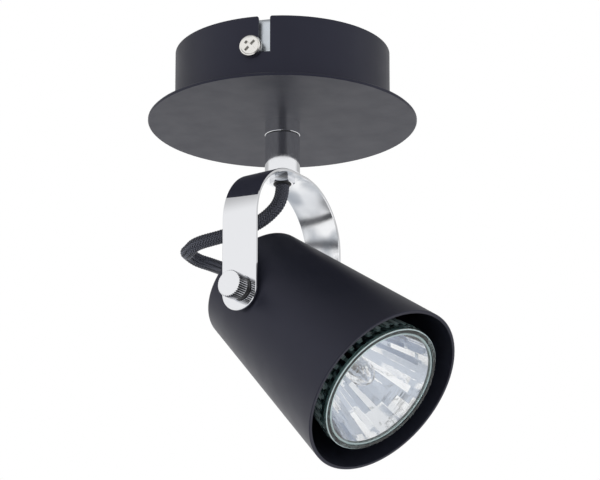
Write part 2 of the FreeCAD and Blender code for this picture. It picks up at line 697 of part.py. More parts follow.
def yoke_strap():
    """Flat strip bent into an arch, with straight legs and rounded ends."""
    span = YOKE_HALF_SPAN
    flat = span - YOKE_BEND
    spring = YOKE_TOP_Z - YOKE_BEND
    inside = YOKE_BEND - STRIP

    def shoulder(radius, side):
        reach = radius * math.sqrt(0.5)
        return (side * (flat + reach), spring + reach)

    face = outline((-span, LEG_END_Z), (-span, spring),
                   (shoulder(YOKE_BEND, -1), (-flat, YOKE_TOP_Z)), (flat, YOKE_TOP_Z),
                   (shoulder(YOKE_BEND, 1), (span, spring)), (span, LEG_END_Z),
                   (LEG_INNER, LEG_END_Z), (LEG_INNER, spring),
                   (shoulder(inside, 1), (flat, YOKE_UNDER_Z)), (-flat, YOKE_UNDER_Z),
                   (shoulder(inside, -1), (-LEG_INNER, spring)), (-LEG_INNER, LEG_END_Z))
    strap = placed(face.extrude(Vector(0, STRIP_WIDTH, 0)),
                   Placement(Vector(0, -STRIP_WIDTH / 2, 0), Rotation()))
    end_z = LEG_END_Z + STRIP_WIDTH / 2
    blank = block((-2 * span, -STRIP_WIDTH / 2, end_z), (2 * span, STRIP_WIDTH / 2, 0))
    tips = Part.makeCylinder(STRIP_WIDTH / 2, 4 * span, Vector(-2 * span, 0, end_z), X_AXIS)
    strap = strap.common(blank.fuse(tips))
    strap = strap.makeChamfer(STRIP_CHAMFER, [edge for edge in strap.Edges if runs_along_strip(edge)])
    pivots = Part.makeCylinder(PIVOT_HOLE, 4 * span, Vector(-2 * span, 0, PIVOT_Z), X_AXIS)
    strap = strap.cut(pivots).cut(bar(BOLT_RADIUS, YOKE_UNDER_Z - 2, YOKE_TOP_Z + 2))
    return placed(strap, Placement(ORIGIN, Rotation(Z_AXIS, 90)))


def hollow_bolt():
    low = YOKE_UNDER_Z - BOLT_HEAD
    head = placed(hexagon(BOLT_ACROSS_FLATS, low, YOKE_UNDER_Z),
                  Placement(ORIGIN, Rotation(Z_AXIS, BOLT_TURN)))
    corner = BOLT_ACROSS_FLATS / 2 / math.cos(math.pi / 6)
    edge = corner - BOLT_ACROSS_FLATS / 2
    form = turned((0, low), (corner - edge, low), (corner, low + 0.4), (corner, YOKE_UNDER_Z),
                  (0, YOKE_UNDER_Z))
    shank = bar(BOLT_RADIUS, YOKE_UNDER_Z, YOKE_TOP_Z + BOLT_LENGTH - STRIP)
    bolt = head.common(form).fuse(shank)
    return bolt.cut(bar(BOLT_BORE, low - 1, YOKE_TOP_Z + BOLT_LENGTH))


def exit_liner():
    low = LINER_END_Z
    lip = low + LINER_LIP
    high = YOKE_TOP_Z + BOLT_LENGTH - STRIP
    return turned((CABLE_RADIUS, low), (LINER_FLANGE - 0.3, low), (LINER_FLANGE, low + 0.3),
                  (LINER_FLANGE, lip), (BOLT_BORE, lip), (BOLT_BORE, high), (CABLE_RADIUS, high))


def stem_cable():
    return bar(CABLE_RADIUS, LINER_END_Z, CABLE_JOINT_Z - 0.3)


def flex_cable():
    solid, radii, length = tube(CABLE_ROUTE, CABLE_RADIUS)
    print("cable: length %.1f mm, arc radii" % length, [round(radius, 1) for radius in radii])
    print("cable: volume over section times length %.4f"
          % (solid.Volume / (math.pi * CABLE_RADIUS ** 2 * length)))
    return solid


# ---------------------------------------------------------------- head

def shell_radius(station):
    """Outer radius of the tapered shell at a distance ahead of the pivot line."""
    return REAR_RADIUS + TAPER * (station + HEAD_REAR)


def head_shell():
    """Tapered can: closed, rounded back, open front, two pivot holes and a cable hole."""
    slope = math.atan(TAPER)
    wall = HEAD_WALL / math.cos(slope)
    back = -HEAD_REAR
    # the back edge: an arc tangent to the back and to the taper
    arc_z = back + REAR_ROUND * (1 - math.sin(slope))
    arc_end = (shell_radius(arc_z), arc_z)
    centre = (arc_end[0] - REAR_ROUND * math.cos(slope), back + REAR_ROUND)
    turn = (math.pi / 2 + slope) / 2
    arc_middle = (centre[0] + REAR_ROUND * math.cos(turn), centre[1] - REAR_ROUND * math.sin(turn))
    floor = back + HEAD_WALL
    lip = 0.25
    shell = turned((GROMMET_NECK, back), (centre[0], back), (arc_middle, arc_end),
                   (shell_radius(HEAD_FRONT - lip), HEAD_FRONT - lip),
                   (FRONT_RADIUS - lip, HEAD_FRONT), (FRONT_RADIUS - wall, HEAD_FRONT),
                   (shell_radius(floor + REAR_ROUND) - wall, floor + REAR_ROUND),
                   (shell_radius(floor) - wall - REAR_ROUND, floor), (GROMMET_NECK, floor))
    shell = along_beam(shell)
    pivots = Part.makeCylinder(BOSS_RADIUS, 4 * FRONT_RADIUS, Vector(0, -2 * FRONT_RADIUS, 0), Y_AXIS)
    return on_head(shell.cut(pivots))


def each_side(shape):
    """Right-hand piece built about Z with +Z outwards, and its twin on the left."""
    return [placed(shape, facing(90 * side)) for side in (-1, 1)]


def pivot_bosses():
    inner = BOSS_INNER
    shoulder = inner + BOSS_FLANGE_SHEET
    boss = turned((BOSS_BORE, inner), (BOSS_FLANGE, inner), (BOSS_FLANGE, shoulder),
                  (BOSS_RADIUS, shoulder), (BOSS_RADIUS, BOSS_OUTER), (BOSS_BORE, BOSS_OUTER))
    return Part.makeCompound([on_head(piece) for piece in each_side(boss)])


def pivot_washers():
    washer = ring(BOSS_BORE, PIVOT_WASHER_RADIUS, BOSS_OUTER, LEG_INNER - PIVOT_GAP)
    return Part.makeCompound([on_head(piece) for piece in each_side(washer)])


def rear_grommet():
    back = -HEAD_REAR
    floor = back + HEAD_WALL
    grommet = turned((CABLE_RADIUS, back - GROMMET_LIP), (CABLE_RADIUS + 1.0, back - GROMMET_LIP),
                     (GROMMET_FLANGE, back - 0.5), (GROMMET_FLANGE, back), (GROMMET_NECK, back),
                     (GROMMET_NECK, floor), (GROMMET_INNER_FLANGE, floor),
                     (GROMMET_INNER_FLANGE - 0.4, floor + GROMMET_INNER_LIP),
                     (CABLE_RADIUS, floor + GROMMET_INNER_LIP))
    return on_head(along_beam(grommet))


def lamp_holder():
    """Ceramic holder with two keyways: round entries, then narrow slots over a chamber."""
    front = HOLDER_FRONT
    edge = HOLDER_CHAMFER
    body = turned((0, HOLDER_BACK), (HOLDER_RADIUS - edge, HOLDER_BACK),
                  (HOLDER_RADIUS, HOLDER_BACK + edge), (HOLDER_RADIUS, front - edge),
                  (HOLDER_RADIUS - edge, front), (0, front))
    keyway = arc_slot(PIN_PITCH_RADIUS, KEYWAY_HALF, front - KEYWAY_DEPTH, front + 1, 0, LAMP_TURN)
    chamber = arc_slot(PIN_PITCH_RADIUS, KEYWAY_CHAMBER_HALF, front - KEYWAY_DEPTH,
                       front - KEYWAY_LIP, 0, LAMP_TURN)
    angle = math.radians(LAMP_TURN)
    entry_place = Vector(PIN_PITCH_RADIUS * math.cos(angle), PIN_PITCH_RADIUS * math.sin(angle), 0)
    entry = placed(bar(KEYWAY_CHAMBER_HALF, front - KEYWAY_DEPTH, front + 1),
                   Placement(entry_place, Rotation()))
    cutter = keyway.fuse(chamber).fuse(entry)
    for turn in (0, 180):
        body = body.cut(placed(cutter, Placement(ORIGIN, Rotation(Z_AXIS, turn))))
    for side in (-1, 1):
        screw_hole = Placement(Vector(0, side * BRIDGE_SCREW_PLACE, 0), Rotation())
        body = body.cut(placed(bar(M3_RADIUS, HOLDER_BACK - 1, HOLDER_BACK + 5), screw_hole))
    return on_head(along_beam(body))


def holder_bridge():
    """Folded strip that carries the holder off the back of the shell."""
    half = BRIDGE_WIDTH / 2
    floor = -HEAD_REAR + HEAD_WALL
    high = HOLDER_BACK
    legs = BRIDGE_HALF_HEIGHT
    sheet = BRIDGE_SHEET
    bridge = block((-half, -legs, high - sheet), (half, legs, high))
    for side in (-1, 1):
        outer = side * legs
        inner = side * (legs - sheet)
        tip = side * (legs + BRIDGE_FOOT)
        leg = block((-half, min(outer, inner), floor), (half, max(outer, inner), high))
        foot = block((-half, min(inner, tip), floor), (half, max(inner, tip), floor + sheet))
        screw_hole = Placement(Vector(0, side * BRIDGE_SCREW_PLACE, 0), Rotation())
        bridge = bridge.fuse(leg).fuse(foot)
        bridge = bridge.cut(placed(bar(M3_RADIUS, high - 3, high + 1), screw_hole))
    return on_head(along_beam(bridge.removeSplitter()))


def bridge_screws():
    seat = HOLDER_BACK - BRIDGE_SHEET
    screw = pan_screw(M3_RADIUS, 2.7, 1.8, shank=5.0)
    screws = []
    for side in (-1, 1):
        place = Placement(Vector(0, side * BRIDGE_SCREW_PLACE, seat), Rotation(X_AXIS, 180))
        screws.append(on_head(along_beam(placed(screw, place))))
    return Part.makeCompound(screws)


def head_cable():
    cable = bar(CABLE_RADIUS, -GROMMET_FACE, -HEAD_REAR + HEAD_WALL + GROMMET_INNER_LIP + 0.8)
    return on_head(along_beam(cable))


def head_leads():
    """Two leads from the end of the sheath into the back of the holder."""
    start = -HEAD_REAR + HEAD_WALL + GROMMET_INNER_LIP + 0.8
    leads = []
    for side in (-1, 1):
        route = [(0.0, side * CORE_PITCH, start), (0.0, side * CORE_PITCH, start + 1.6),
                 (0.0, side * LEAD_PITCH, HOLDER_BACK - 2.6),
                 (0.0, side * LEAD_PITCH, HOLDER_BACK)]
        lead = tube(route, CORE_RADIUS)[0]
        leads.append(placed(lead, Placement(ORIGIN, Rotation(Z_AXIS, 90))))
    return Part.makeCompound([on_head(along_beam(lead)) for lead in leads])


# ---------------------------------------------------------------- lamp

def lamp_part(shape):
    """Carry a piece built about Z, with the lamp's front face at z = 0, into the head."""
    return on_head(along_beam(placed(shape, Placement(Vector(0, 0, LAMP_FACE), Rotation()))))


def lamp_reflector():
    """Pressed glass reflector, ribbed outside, with a stepped rim for its cover."""
    rim = LAMP_RADIUS
    under = -LAMP_RIM_DEPTH
    deep = -LAMP_NECK_DEPTH
    glass = turned((0, -0.5), (rim - 0.5, -0.5), (rim, -1.0), (rim, under), (rim - 0.9, under - 0.8),
                   (LAMP_BULGE, (LAMP_NECK_RADIUS, deep)), (0, deep))
    # a rib stands 1 mm proud under the rim and runs out towards the neck
    rib_top = under - 0.4
    side = outline((rim - 0.4, rib_top), (RIB_BULGE, RIB_END), (rim - 2.0, rib_top))
    rib = placed(side.extrude(Vector(0, RIB_WIDTH, 0)),
                 Placement(Vector(0, -RIB_WIDTH / 2, 0), Rotation()))
    glass = glass.fuse([placed(rib, Placement(ORIGIN, Rotation(Z_AXIS, 360 * k / RIB_COUNT)))
                        for k in range(RIB_COUNT)])
    step = COVER_RADIUS + 0.05
    seat = -COVER_GLASS - 0.5
    inside = turned((0, deep - 1), (6.0, deep - 1), (6.0, deep + 2.5),
                    ((18.0 - LAMP_GLASS, -19.0), (rim - 2.6, under - 0.8)), (rim - 2.6, seat),
                    (step, seat), (step, 0), (0, 0))
    return lamp_part(glass.cut(inside))


def lamp_cover():
    """Cover glass with a gently domed face."""
    edge = 0.8
    low = -COVER_GLASS - 0.5
    return lamp_part(turned((0, low), (COVER_RADIUS, low),
                            (COVER_RADIUS, -edge), ((0.55 * COVER_RADIUS, -0.25), (DOME_FLAT, 0)),
                            (0, 0)))


def lamp_capsule():
    """Quartz capsule on the axis of the reflector."""
    tip = -CAPSULE_TIP
    radius = CAPSULE_RADIUS
    shoulder = tip - 0.8 * radius
    return lamp_part(turned((0, -LAMP_NECK_DEPTH), (radius - 0.8, -LAMP_NECK_DEPTH),
                            (radius - 0.8, shoulder - 8.0), (radius, shoulder - 6.5),
                            (radius, shoulder),
                            ((0.7 * radius, tip - 0.25 * radius), (DOME_FLAT, tip)), (0, tip)))


def lamp_base():
    edge = 0.8
    top = -LAMP_NECK_DEPTH
    low = -LAMP_BASE_END
    return lamp_part(turned((0, top), (LAMP_BASE_RADIUS, top), (LAMP_BASE_RADIUS, low + edge),
                            (LAMP_BASE_RADIUS - edge, low), (0, low)))


def lamp_pins():
    neck_end = -LAMP_BASE_END - LAMP_PIN_LENGTH + LAMP_PIN_HEAD
    edge = 0.4
    pin = turned((0, -LAMP_BASE_END), (0, neck_end - LAMP_PIN_HEAD),
                 (PIN_HEAD_RADIUS - edge, neck_end - LAMP_PIN_HEAD),
                 (PIN_HEAD_RADIUS, neck_end - LAMP_PIN_HEAD + edge), (PIN_HEAD_RADIUS, neck_end),
                 (PIN_RADIUS, neck_end), (PIN_RADIUS, -LAMP_BASE_END))
    return Part.makeCompound([
        lamp_part(placed(pin, Placement(Vector(side * PIN_PITCH_RADIUS, 0, 0), Rotation())))
        for side in (-1, 1)])


# ---------------------------------------------------------------- knurled screws

def knurled_bar(radius, low, high):
    """Bar with straight knurling: V grooves all round."""
    points = []
    for k in range(2 * KNURL_TEETH + 1):
        angle = math.pi * k / KNURL_TEETH
        reach = radius - (KNURL_DEPTH if k % 2 else 0)
        points.append(Vector(reach * math.cos(angle), reach * math.sin(angle), low))
    return Part.Face(Part.makePolygon(points)).extrude(Vector(0, 0, high - low))


def knob():
    low = YOKE_HALF_SPAN + KNOB_GAP + KNOB_WASHER + KNOB_GAP
    high = low + KNOB_LENGTH
    edge = KNOB_CHAMFER
    form = turned((0, low), (KNOB_RADIUS - edge, low), (KNOB_RADIUS, low + edge),
                  (KNOB_RADIUS, high - edge), (KNOB_RADIUS - edge, high), (0, high))
    head = knurled_bar(KNOB_RADIUS, low, high).common(form)
    return head.fuse(bar(M4_RADIUS, KNOB_SHANK_REACH, low))


def knob_washer():
    low = YOKE_HALF_SPAN + KNOB_GAP
    edge = 0.2
    return turned((KNOB_WASHER_BORE, low), (KNOB_WASHER_RADIUS, low),
                  (KNOB_WASHER_RADIUS, low + KNOB_WASHER - edge),
                  (KNOB_WASHER_RADIUS - edge, low + KNOB_WASHER), (KNOB_WASHER_BORE, low + KNOB_WASHER))


# ---------------------------------------------------------------- assembly

def build():
    right_knob, left_knob = [on_head(piece) for piece in each_side(knob())]
    right_washer, left_washer = [on_head(piece) for piece in each_side(knob_washer())]
    nodes = {
        "mounting_bracket": mounting_bracket(),
        "canopy_screws": canopy_screws(),
        "earth_screw": earth_screw(),
        "earth_washer": earth_washer(),
        "canopy_cup": canopy_cup(),
        "canopy_disc": canopy_disc(),
        "stem_collar": stem_collar(),
        "swivel_washer": swivel_washer(),
        "spindle": spindle(),
        "lock_washer": lock_washer(),
        "earth_tag": earth_tag(),
        "spindle_nut": spindle_nut(),
        "swivel_retainer": swivel_retainer(),
        "cord_grip": cord_grip(),
        "grip_screw": grip_screw(),
        "canopy_cable": canopy_cable(),
        "terminal_block": terminal_block(),
        "terminal_screws": terminal_screws(),
        "block_screw": block_screw(),
        "earth_core": core_wire(0),
        "neutral_core": core_wire(1),
        "live_core": core_wire(2),
        "bonding_wire": bonding_wire(),
        "stem_tube": placed(stem_tube(), YOKE_FRAME),
        "stem_plug": placed(stem_plug(), YOKE_FRAME),
        "stop_pin": placed(stop_pin(), YOKE_FRAME),
        "yoke_strap": placed(yoke_strap(), YOKE_FRAME),
        "hollow_bolt": placed(hollow_bolt(), YOKE_FRAME),
        "exit_liner": placed(exit_liner(), YOKE_FRAME),
        "stem_cable": placed(stem_cable(), YOKE_FRAME),
        "flex_cable": placed(flex_cable(), YOKE_FRAME),
        "head_shell": head_shell(),
        "pivot_bosses": pivot_bosses(),
        "pivot_washers": pivot_washers(),
        "rear_grommet": rear_grommet(),
        "lamp_holder": lamp_holder(),
        "holder_bridge": holder_bridge(),
        "bridge_screws": bridge_screws(),
        "head_cable": head_cable(),
        "head_leads": head_leads(),
        "lamp_reflector": lamp_reflector(),
        "lamp_cover": lamp_cover(),
        "lamp_capsule": lamp_capsule(),
        "lamp_base": lamp_base(),
        "lamp_pins": lamp_pins(),
        "right_knob": right_knob,
        "right_knob_washer": right_washer,
        "left_knob": left_knob,
        "left_knob_washer": left_washer,
    }
    os.makedirs("parts", exist_ok=True)
    for name, shape in nodes.items():
        if not shape.isValid() or not shape.Solids:
            raise ValueError("the solid of " + name + " is not sound")
        shape.exportStep("parts/" + name + ".step")
        print("%-20s %2d solids  %9.1f mm3" % (name, len(shape.Solids), shape.Volume))


build()
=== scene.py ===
import math

import bmesh
import bpy
from mathutils import Matrix, Vector


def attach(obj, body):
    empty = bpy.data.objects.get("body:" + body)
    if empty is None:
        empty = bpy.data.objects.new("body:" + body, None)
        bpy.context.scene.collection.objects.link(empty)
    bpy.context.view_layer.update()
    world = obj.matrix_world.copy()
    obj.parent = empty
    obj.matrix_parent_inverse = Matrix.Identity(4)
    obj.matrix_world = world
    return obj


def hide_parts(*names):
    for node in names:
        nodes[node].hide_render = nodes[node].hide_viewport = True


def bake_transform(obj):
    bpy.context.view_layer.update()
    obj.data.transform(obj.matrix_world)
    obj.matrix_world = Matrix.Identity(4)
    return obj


# A surface mounted ceiling spotlight: black powder coated canopy and head, polished chrome
# stem and yoke, a braided cable, and a 50 mm reflector lamp behind a pressed glass cover.

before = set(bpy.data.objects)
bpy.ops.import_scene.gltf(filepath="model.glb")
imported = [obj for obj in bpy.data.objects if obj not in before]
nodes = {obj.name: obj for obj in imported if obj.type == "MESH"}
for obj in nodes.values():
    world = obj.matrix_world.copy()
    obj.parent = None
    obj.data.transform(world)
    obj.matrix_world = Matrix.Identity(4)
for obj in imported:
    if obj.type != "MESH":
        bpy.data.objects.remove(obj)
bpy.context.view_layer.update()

# ---------------------------------------------------------------- sizes, in millimetres

MM = 0.001

# how far the fork is turned and the head tilted, and the places that pieces start from
YOKE_TURN = 18.1
HEAD_TILT = 42.0
PIVOT_Z = -98.7
FACE_Z = -27.0
LINER_END_Z = -51.7
GROMMET_FACE = 18.0
LAMP_FACE = 58.8

# teeth of the knurled screws, from the screws' axis
GROOVE_RADIUS = 4.62
CREST_RADIUS = 4.95

# braided cable: flat carriers round a plain core, where the cover is the share of the room
# between carriers that each one fills
CABLE_RADIUS = 2.6
LINE_STEPS = 24
CORE_SHARE = 0.88
CORE_SIDES = 24
BRAID_CARRIERS = 16
BRAID_PITCH = 16.4
BRAID_STEPS = 430
YARN_THICKNESS = 0.50
YARN_COVER = 0.93
YARN_SWING = 1.3
YARN_LIFT = 0.9
YARN_SIDES = 6
FILAMENTS = 3.0
FILAMENT_STEP = 1.2

# mirror inside the lamp, from the lamp's face: its bowl, the flutes of facets up its side,
# how each facet is shaped, and the seeds that vary them
MIRROR_RADIUS = 22.4
MIRROR_FRONT = -2.9
MIRROR_NECK = 5.6
MIRROR_BACK = -31.2
FLUTES = 46
FLUTE_ROWS = 4
FACET_PARTS = 8.0
FACET_CROWN = 0.03
FACET_LEAN = 0.1
FACET_NOD = 0.2
RELIEF_END = 0.93
FLUTE_NUDGE = 0.001
FLUTE_STRIDE = 16.0
# share of the facets that carry a painted reflection of the dark room, a bluer grey base colour,
# and the size and stray of its patches
PAINTED_REFLECTION_SHARE = 0.24
PATCH_SCALE = 1.6
TONE_STRAY = 0.35
ROW_SEED, TONE_SEED, LEAN_SEED, NOD_SEED = 3, 5, 7, 11
MIRROR_SEAM = 0.001

# ribbed glass of the lamp and its cover: where each starts to be milky, and how milky
RIBS = 36
RIB_MILK = 0.75
RIM_EDGE = 24.75
RIM_BLUR = 0.1
RIM_START = -0.9
RIM_END = -0.7
FLANK_START = -4.3
FLANK_END = -4.8
COVER_EDGE = 22.45
COVER_BLUR = 0.3
COVER_MILK = 0.6

# half the section of the cement, as radius and height from the lamp's face
CEMENT_PROFILE = [(0.0, -30.6), (2.5, -30.5), (4.2, -30.2), (5.2, -29.6), (5.6, -29.2),
                  (5.5, -31.3), (0.0, -31.3)]
CEMENT_SIDES = 64
CEMENT_SEAM = 0.01

# filament: a coil, with legs that stand so many of its radii from its axis
COIL_RADIUS = 0.8
COIL_TURNS = 9.0
COIL_STEPS = 20
COIL_BOTTOM = -20.5
COIL_TOP = -13.5
WIRE_RADIUS = 0.14
WIRE_SIDES = 8
NEAR_LEG = -1.0
FAR_LEG = 2.4

YOKE_FRAME = Matrix.Rotation(-math.radians(YOKE_TURN), 4, "Z")
HEAD_FRAME = (YOKE_FRAME @ Matrix.Translation((0, 0, PIVOT_Z * MM))
              @ Matrix.Rotation(math.radians(HEAD_TILT), 4, "Y"))
LAMP_FRAME = (HEAD_FRAME @ Matrix.Translation((LAMP_FACE * MM, 0, 0))
              @ Matrix.Rotation(math.radians(90), 4, "Y"))


def behind_head(distance):
    """Point in the yoke's frame on the head's axis, so far behind the pivot."""
    tilt = math.radians(HEAD_TILT)
    return (-distance * math.cos(tilt), 0.0, PIVOT_Z + distance * math.sin(tilt))


# Route of the braided cable in the yoke's frame: out of the hollow bolt, back between the
# legs, round the tight loop behind the head and into its rear face.
CABLE_ROUTE = [
    (0.0, 0.0, LINER_END_Z),
    (0.0, 0.0, LINER_END_Z - 5.8),
    (-5.4, -2.5, FACE_Z - 37.1),
    (-13.9, -2.5, FACE_Z - 39.6),
    (-23.0, -6.1, FACE_Z - 42.0),
    (-32.9, -9.2, FACE_Z - 43.7),
    (-38.6, -6.0, FACE_Z - 45.2),
    (-43.9, 0.6, FACE_Z - 42.3),
    (-44.3, 7.1, FACE_Z - 43.5),
    (-39.0, 11.0, FACE_Z - 45.5),
    (-28.7, 6.4, FACE_Z - 51.0),
    behind_head(GROMMET_FACE + 6.5),
    behind_head(GROMMET_FACE),
]


# ---------------------------------------------------------------- shared helpers

def colour(code):
    """Linear colour with alpha from an sRGB hex value."""
    parts = [int(code[i:i + 2], 16) / 255 for i in (1, 3, 5)]
    linear = [c / 12.92 if c <= 0.04045 else ((c + 0.055) / 1.055) ** 2.4 for c in parts]
    return (*linear, 1.0)


WHITE = colour("#FFFFFF")
CHROME_TINT = colour("#E7E8EB")

MATH = "ShaderNodeMath"
VECTOR = "ShaderNodeVectorMath"
RAMP = "ShaderNodeMapRange"
MIX = "ShaderNodeMix"


def add(tree, kind, inputs=(), **settings):
    """Add a node. Its inputs are given in order, or by name, and each takes a value, another
    node's output, or a node, which stands for its first output."""
    node = tree.nodes.new(kind)
    for name, value in settings.items():
        setattr(node, name, value)
    for name, value in inputs.items() if isinstance(inputs, dict) else enumerate(inputs):
        if isinstance(value, bpy.types.Node):
            value = value.outputs[0]
        if isinstance(value, bpy.types.NodeSocket):
            tree.links.new(value, node.inputs[name])
        else:
            node.inputs[name].default_value = value
    return node


def new_material(name, **shader_values):
    """Material with one principled shader, whose sockets take the given values."""
    made = bpy.data.materials.new(name)
    made.use_nodes = True
    tree = made.node_tree
    tree.nodes.clear()
    shader = add(tree, "ShaderNodeBsdfPrincipled",
                 {key.replace("_", " "): value for key, value in shader_values.items()})
    add(tree, "ShaderNodeOutputMaterial", {"Surface": shader.outputs["BSDF"]})
    return made, tree, shader


def grain(tree, size_mm, detail=3.0, stretch=(1, 1, 1)):
    """Noise over the piece's own place, whose features are about so many millimetres wide."""
    place = add(tree, "ShaderNodeTexCoord")
    scale = Vector(stretch) / (size_mm * MM)
    mapping = add(tree, "ShaderNodeMapping", {"Vector": place.outputs["Object"], "Scale": scale})
    return add(tree, "ShaderNodeTexNoise",
               {"Vector": mapping.outputs["Vector"], "Scale": 1.0, "Detail": detail})


def roughen(tree, shader, noise, low, high):
    """Let the roughness wander between two values with the noise."""
    ramp = add(tree, RAMP, {"Value": noise.outputs["Fac"], "From Min": 0.3, "From Max": 0.7,
                            "To Min": low, "To Max": high})
    tree.links.new(ramp.outputs["Result"], shader.inputs["Roughness"])


def emboss(tree, shader, height, depth_mm, strength=1.0):
    """Bump the surface by a height of 0 to 1 that stands for so many millimetres."""
    bump = add(tree, "ShaderNodeBump",
               {"Height": height, "Distance": depth_mm * MM, "Strength": strength})
    tree.links.new(bump.outputs["Normal"], shader.inputs["Normal"])


# ---------------------------------------------------------------- materials

def powder_coated_steel():
    """Satin black powder coat, sprayed and baked: bluish, with wide soft highlights."""
    made, tree, shader = new_material("powder_coated_steel", Base_Color=colour("#1C1D25"),
                                      Roughness=0.4, IOR=1.42, Specular_Tint=colour("#DCDCFF"))
    # the coat is a little rougher in some places than in others
    roughen(tree, shader, grain(tree, 9.0), 0.37, 0.43)
    # faint orange peel, whose waves are well under a millimetre
    emboss(tree, shader, grain(tree, 0.7, 2.0).outputs["Fac"], 0.006)
    return made


def polished_chrome_plate():
    """Chrome over polished steel: a nearly white mirror with the faintest buffing haze."""
    made, tree, shader = new_material("polished_chrome_plate", Base_Color=CHROME_TINT,
                                      Metallic=1.0, Roughness=0.05)
    roughen(tree, shader, grain(tree, 5.0), 0.03, 0.07)
    emboss(tree, shader, grain(tree, 6.0, 1.0).outputs["Fac"], 0.004)
    return made


def chrome_plated_strap():
    """The bent strap's chrome: a mirror outside, and cloudy inside, where no wheel reaches."""
    made, tree, shader = new_material("chrome_plated_strap", Base_Color=CHROME_TINT,
                                      Metallic=1.0, Roughness=0.06)
    place = add(tree, "ShaderNodeTexCoord")
    # how far a face looks towards the middle of the fork: 1 inside the legs, -1 outside
    middle = add(tree, VECTOR, ((0.0, 0.0, PIVOT_Z * MM), place.outputs["Object"]),
                 operation="SUBTRACT")
    inward = add(tree, VECTOR, (middle,), operation="NORMALIZE")
    facing = add(tree, VECTOR, (place.outputs["Normal"], inward),
                 operation="DOT_PRODUCT").outputs["Value"]
    inside = add(tree, RAMP, {"Value": facing, "From Min": 0.2, "From Max": 0.4},
                 interpolation_type="SMOOTHSTEP")
    # stains of about a centimetre, and the haze that they give
    stain = grain(tree, 14.0, 1.5)
    haze = add(tree, RAMP, {"Value": stain.outputs["Fac"], "From Min": 0.35, "From Max": 0.65,
                            "To Min": 0.2, "To Max": 0.1})
    rough = add(tree, MIX, {"Factor": inside, "A": 0.05, "B": haze.outputs["Result"]},
                data_type="FLOAT")
    tree.links.new(rough.outputs["Result"], shader.inputs["Roughness"])
    clean = add(tree, RAMP, {"Value": stain.outputs["Fac"], "From Min": 0.34, "From Max": 0.5},
                interpolation_type="SMOOTHSTEP")
    dull = add(tree, MIX, {"Factor": clean, "A": colour("#B4B9C0"), "B": colour("#F4F5F7")},
               data_type="RGBA")
    tint = add(tree, MIX, {"Factor": inside, "A": CHROME_TINT, "B": dull.outputs["Result"]},
               data_type="RGBA")
    tree.links.new(tint.outputs["Result"], shader.inputs["Base Color"])
    emboss(tree, shader, grain(tree, 6.0, 1.0).outputs["Fac"], 0.004)
    return made


def knurled_chrome_plate():
    """Chrome on the knurled screws: polished faces, satin teeth, and painted shade in the grooves.
    """
    made, tree, shader = new_material("knurled_chrome_plate", Base_Color=CHROME_TINT,
                                      Metallic=1.0, Roughness=0.06)
    place = add(tree, "ShaderNodeTexCoord")
    turn = math.radians(YOKE_TURN)
    axis = (math.sin(turn), math.cos(turn), 0.0)
    arm = add(tree, VECTOR, (place.outputs["Object"], (0.0, 0.0, PIVOT_Z * MM)),
              operation="SUBTRACT")
    across = add(tree, VECTOR, (arm, axis), operation="CROSS_PRODUCT")
    radius = add(tree, VECTOR, (across,), operation="LENGTH")
    crest = add(tree, RAMP, {"Value": radius.outputs["Value"], "From Min": GROOVE_RADIUS * MM,
                             "From Max": CREST_RADIUS * MM}, interpolation_type="SMOOTHSTEP")
    # a face looks along the screw's axis, and a tooth's flank looks across it
    facing = add(tree, VECTOR, (place.outputs["Normal"], axis),
                 operation="DOT_PRODUCT").outputs["Value"]
    square = add(tree, MATH, (facing,), operation="ABSOLUTE")
    end = add(tree, RAMP, {"Value": square, "From Min": 0.45, "From Max": 0.6},
              interpolation_type="SMOOTHSTEP")
    # painted shade: down in the grooves between the teeth the base colour is near black, and it is
    # chrome on the crests and the flat faces
    bright = add(tree, MATH, (crest, end), operation="MAXIMUM")
    tint = add(tree, MIX, {"Factor": bright, "A": colour("#2E2E32"), "B": CHROME_TINT},
               data_type="RGBA")
    tree.links.new(tint.outputs["Result"], shader.inputs["Base Color"])
    smear = grain(tree, 1.5)
    polish = add(tree, RAMP, {"Value": smear.outputs["Fac"], "From Min": 0.3, "From Max": 0.7,
                              "To Min": 0.05, "To Max": 0.1})
    rough = add(tree, MIX, {"Factor": end, "A": 0.32, "B": polish.outputs["Result"]},
                data_type="FLOAT")
    tree.links.new(rough.outputs["Result"], shader.inputs["Roughness"])
    return made


def zinc_plated_steel():
    """Bright zinc plate over stamped sheet: blue grey, with soft mottling."""
    made, tree, shader = new_material("zinc_plated_steel", Base_Color=colour("#BCC3CA"),
                                      Metallic=1.0, Roughness=0.3)
    mottle = grain(tree, 3.0)
    tint = add(tree, MIX, {"Factor": mottle.outputs["Fac"], "A": colour("#BFC6CE"),
                           "B": colour("#D6DBE0")}, data_type="RGBA")
    tree.links.new(tint.outputs["Result"], shader.inputs["Base Color"])
    roughen(tree, shader, mottle, 0.24, 0.40)
    return made


def nickel_plated_steel():
    """Nickel plate on turned screws: a warm grey metal whose roughness wanders a little."""
    made, tree, shader = new_material("nickel_plated_steel", Base_Color=colour("#E6E4E0"),
                                      Metallic=1.0, Roughness=0.18)
    roughen(tree, shader, grain(tree, 0.8), 0.12, 0.26)
    return made


def turned_brass():
    """Plain brass, turned and left bare: warm yellow with a slight dulling."""
    made, tree, shader = new_material("turned_brass", Base_Color=colour("#C8A45A"),
                                      Metallic=1.0, Roughness=0.28)
    roughen(tree, shader, grain(tree, 1.5), 0.2, 0.36)
    return made


def moulded_nylon(name, code):
    """Moulded polyamide: an even, slightly waxy surface with a fine spark eroded texture."""
    made, tree, shader = new_material(name, Base_Color=colour(code), Roughness=0.48, IOR=1.53)
    roughen(tree, shader, grain(tree, 2.0), 0.42, 0.55)
    emboss(tree, shader, grain(tree, 0.3, 1.0).outputs["Fac"], 0.008)
    return made


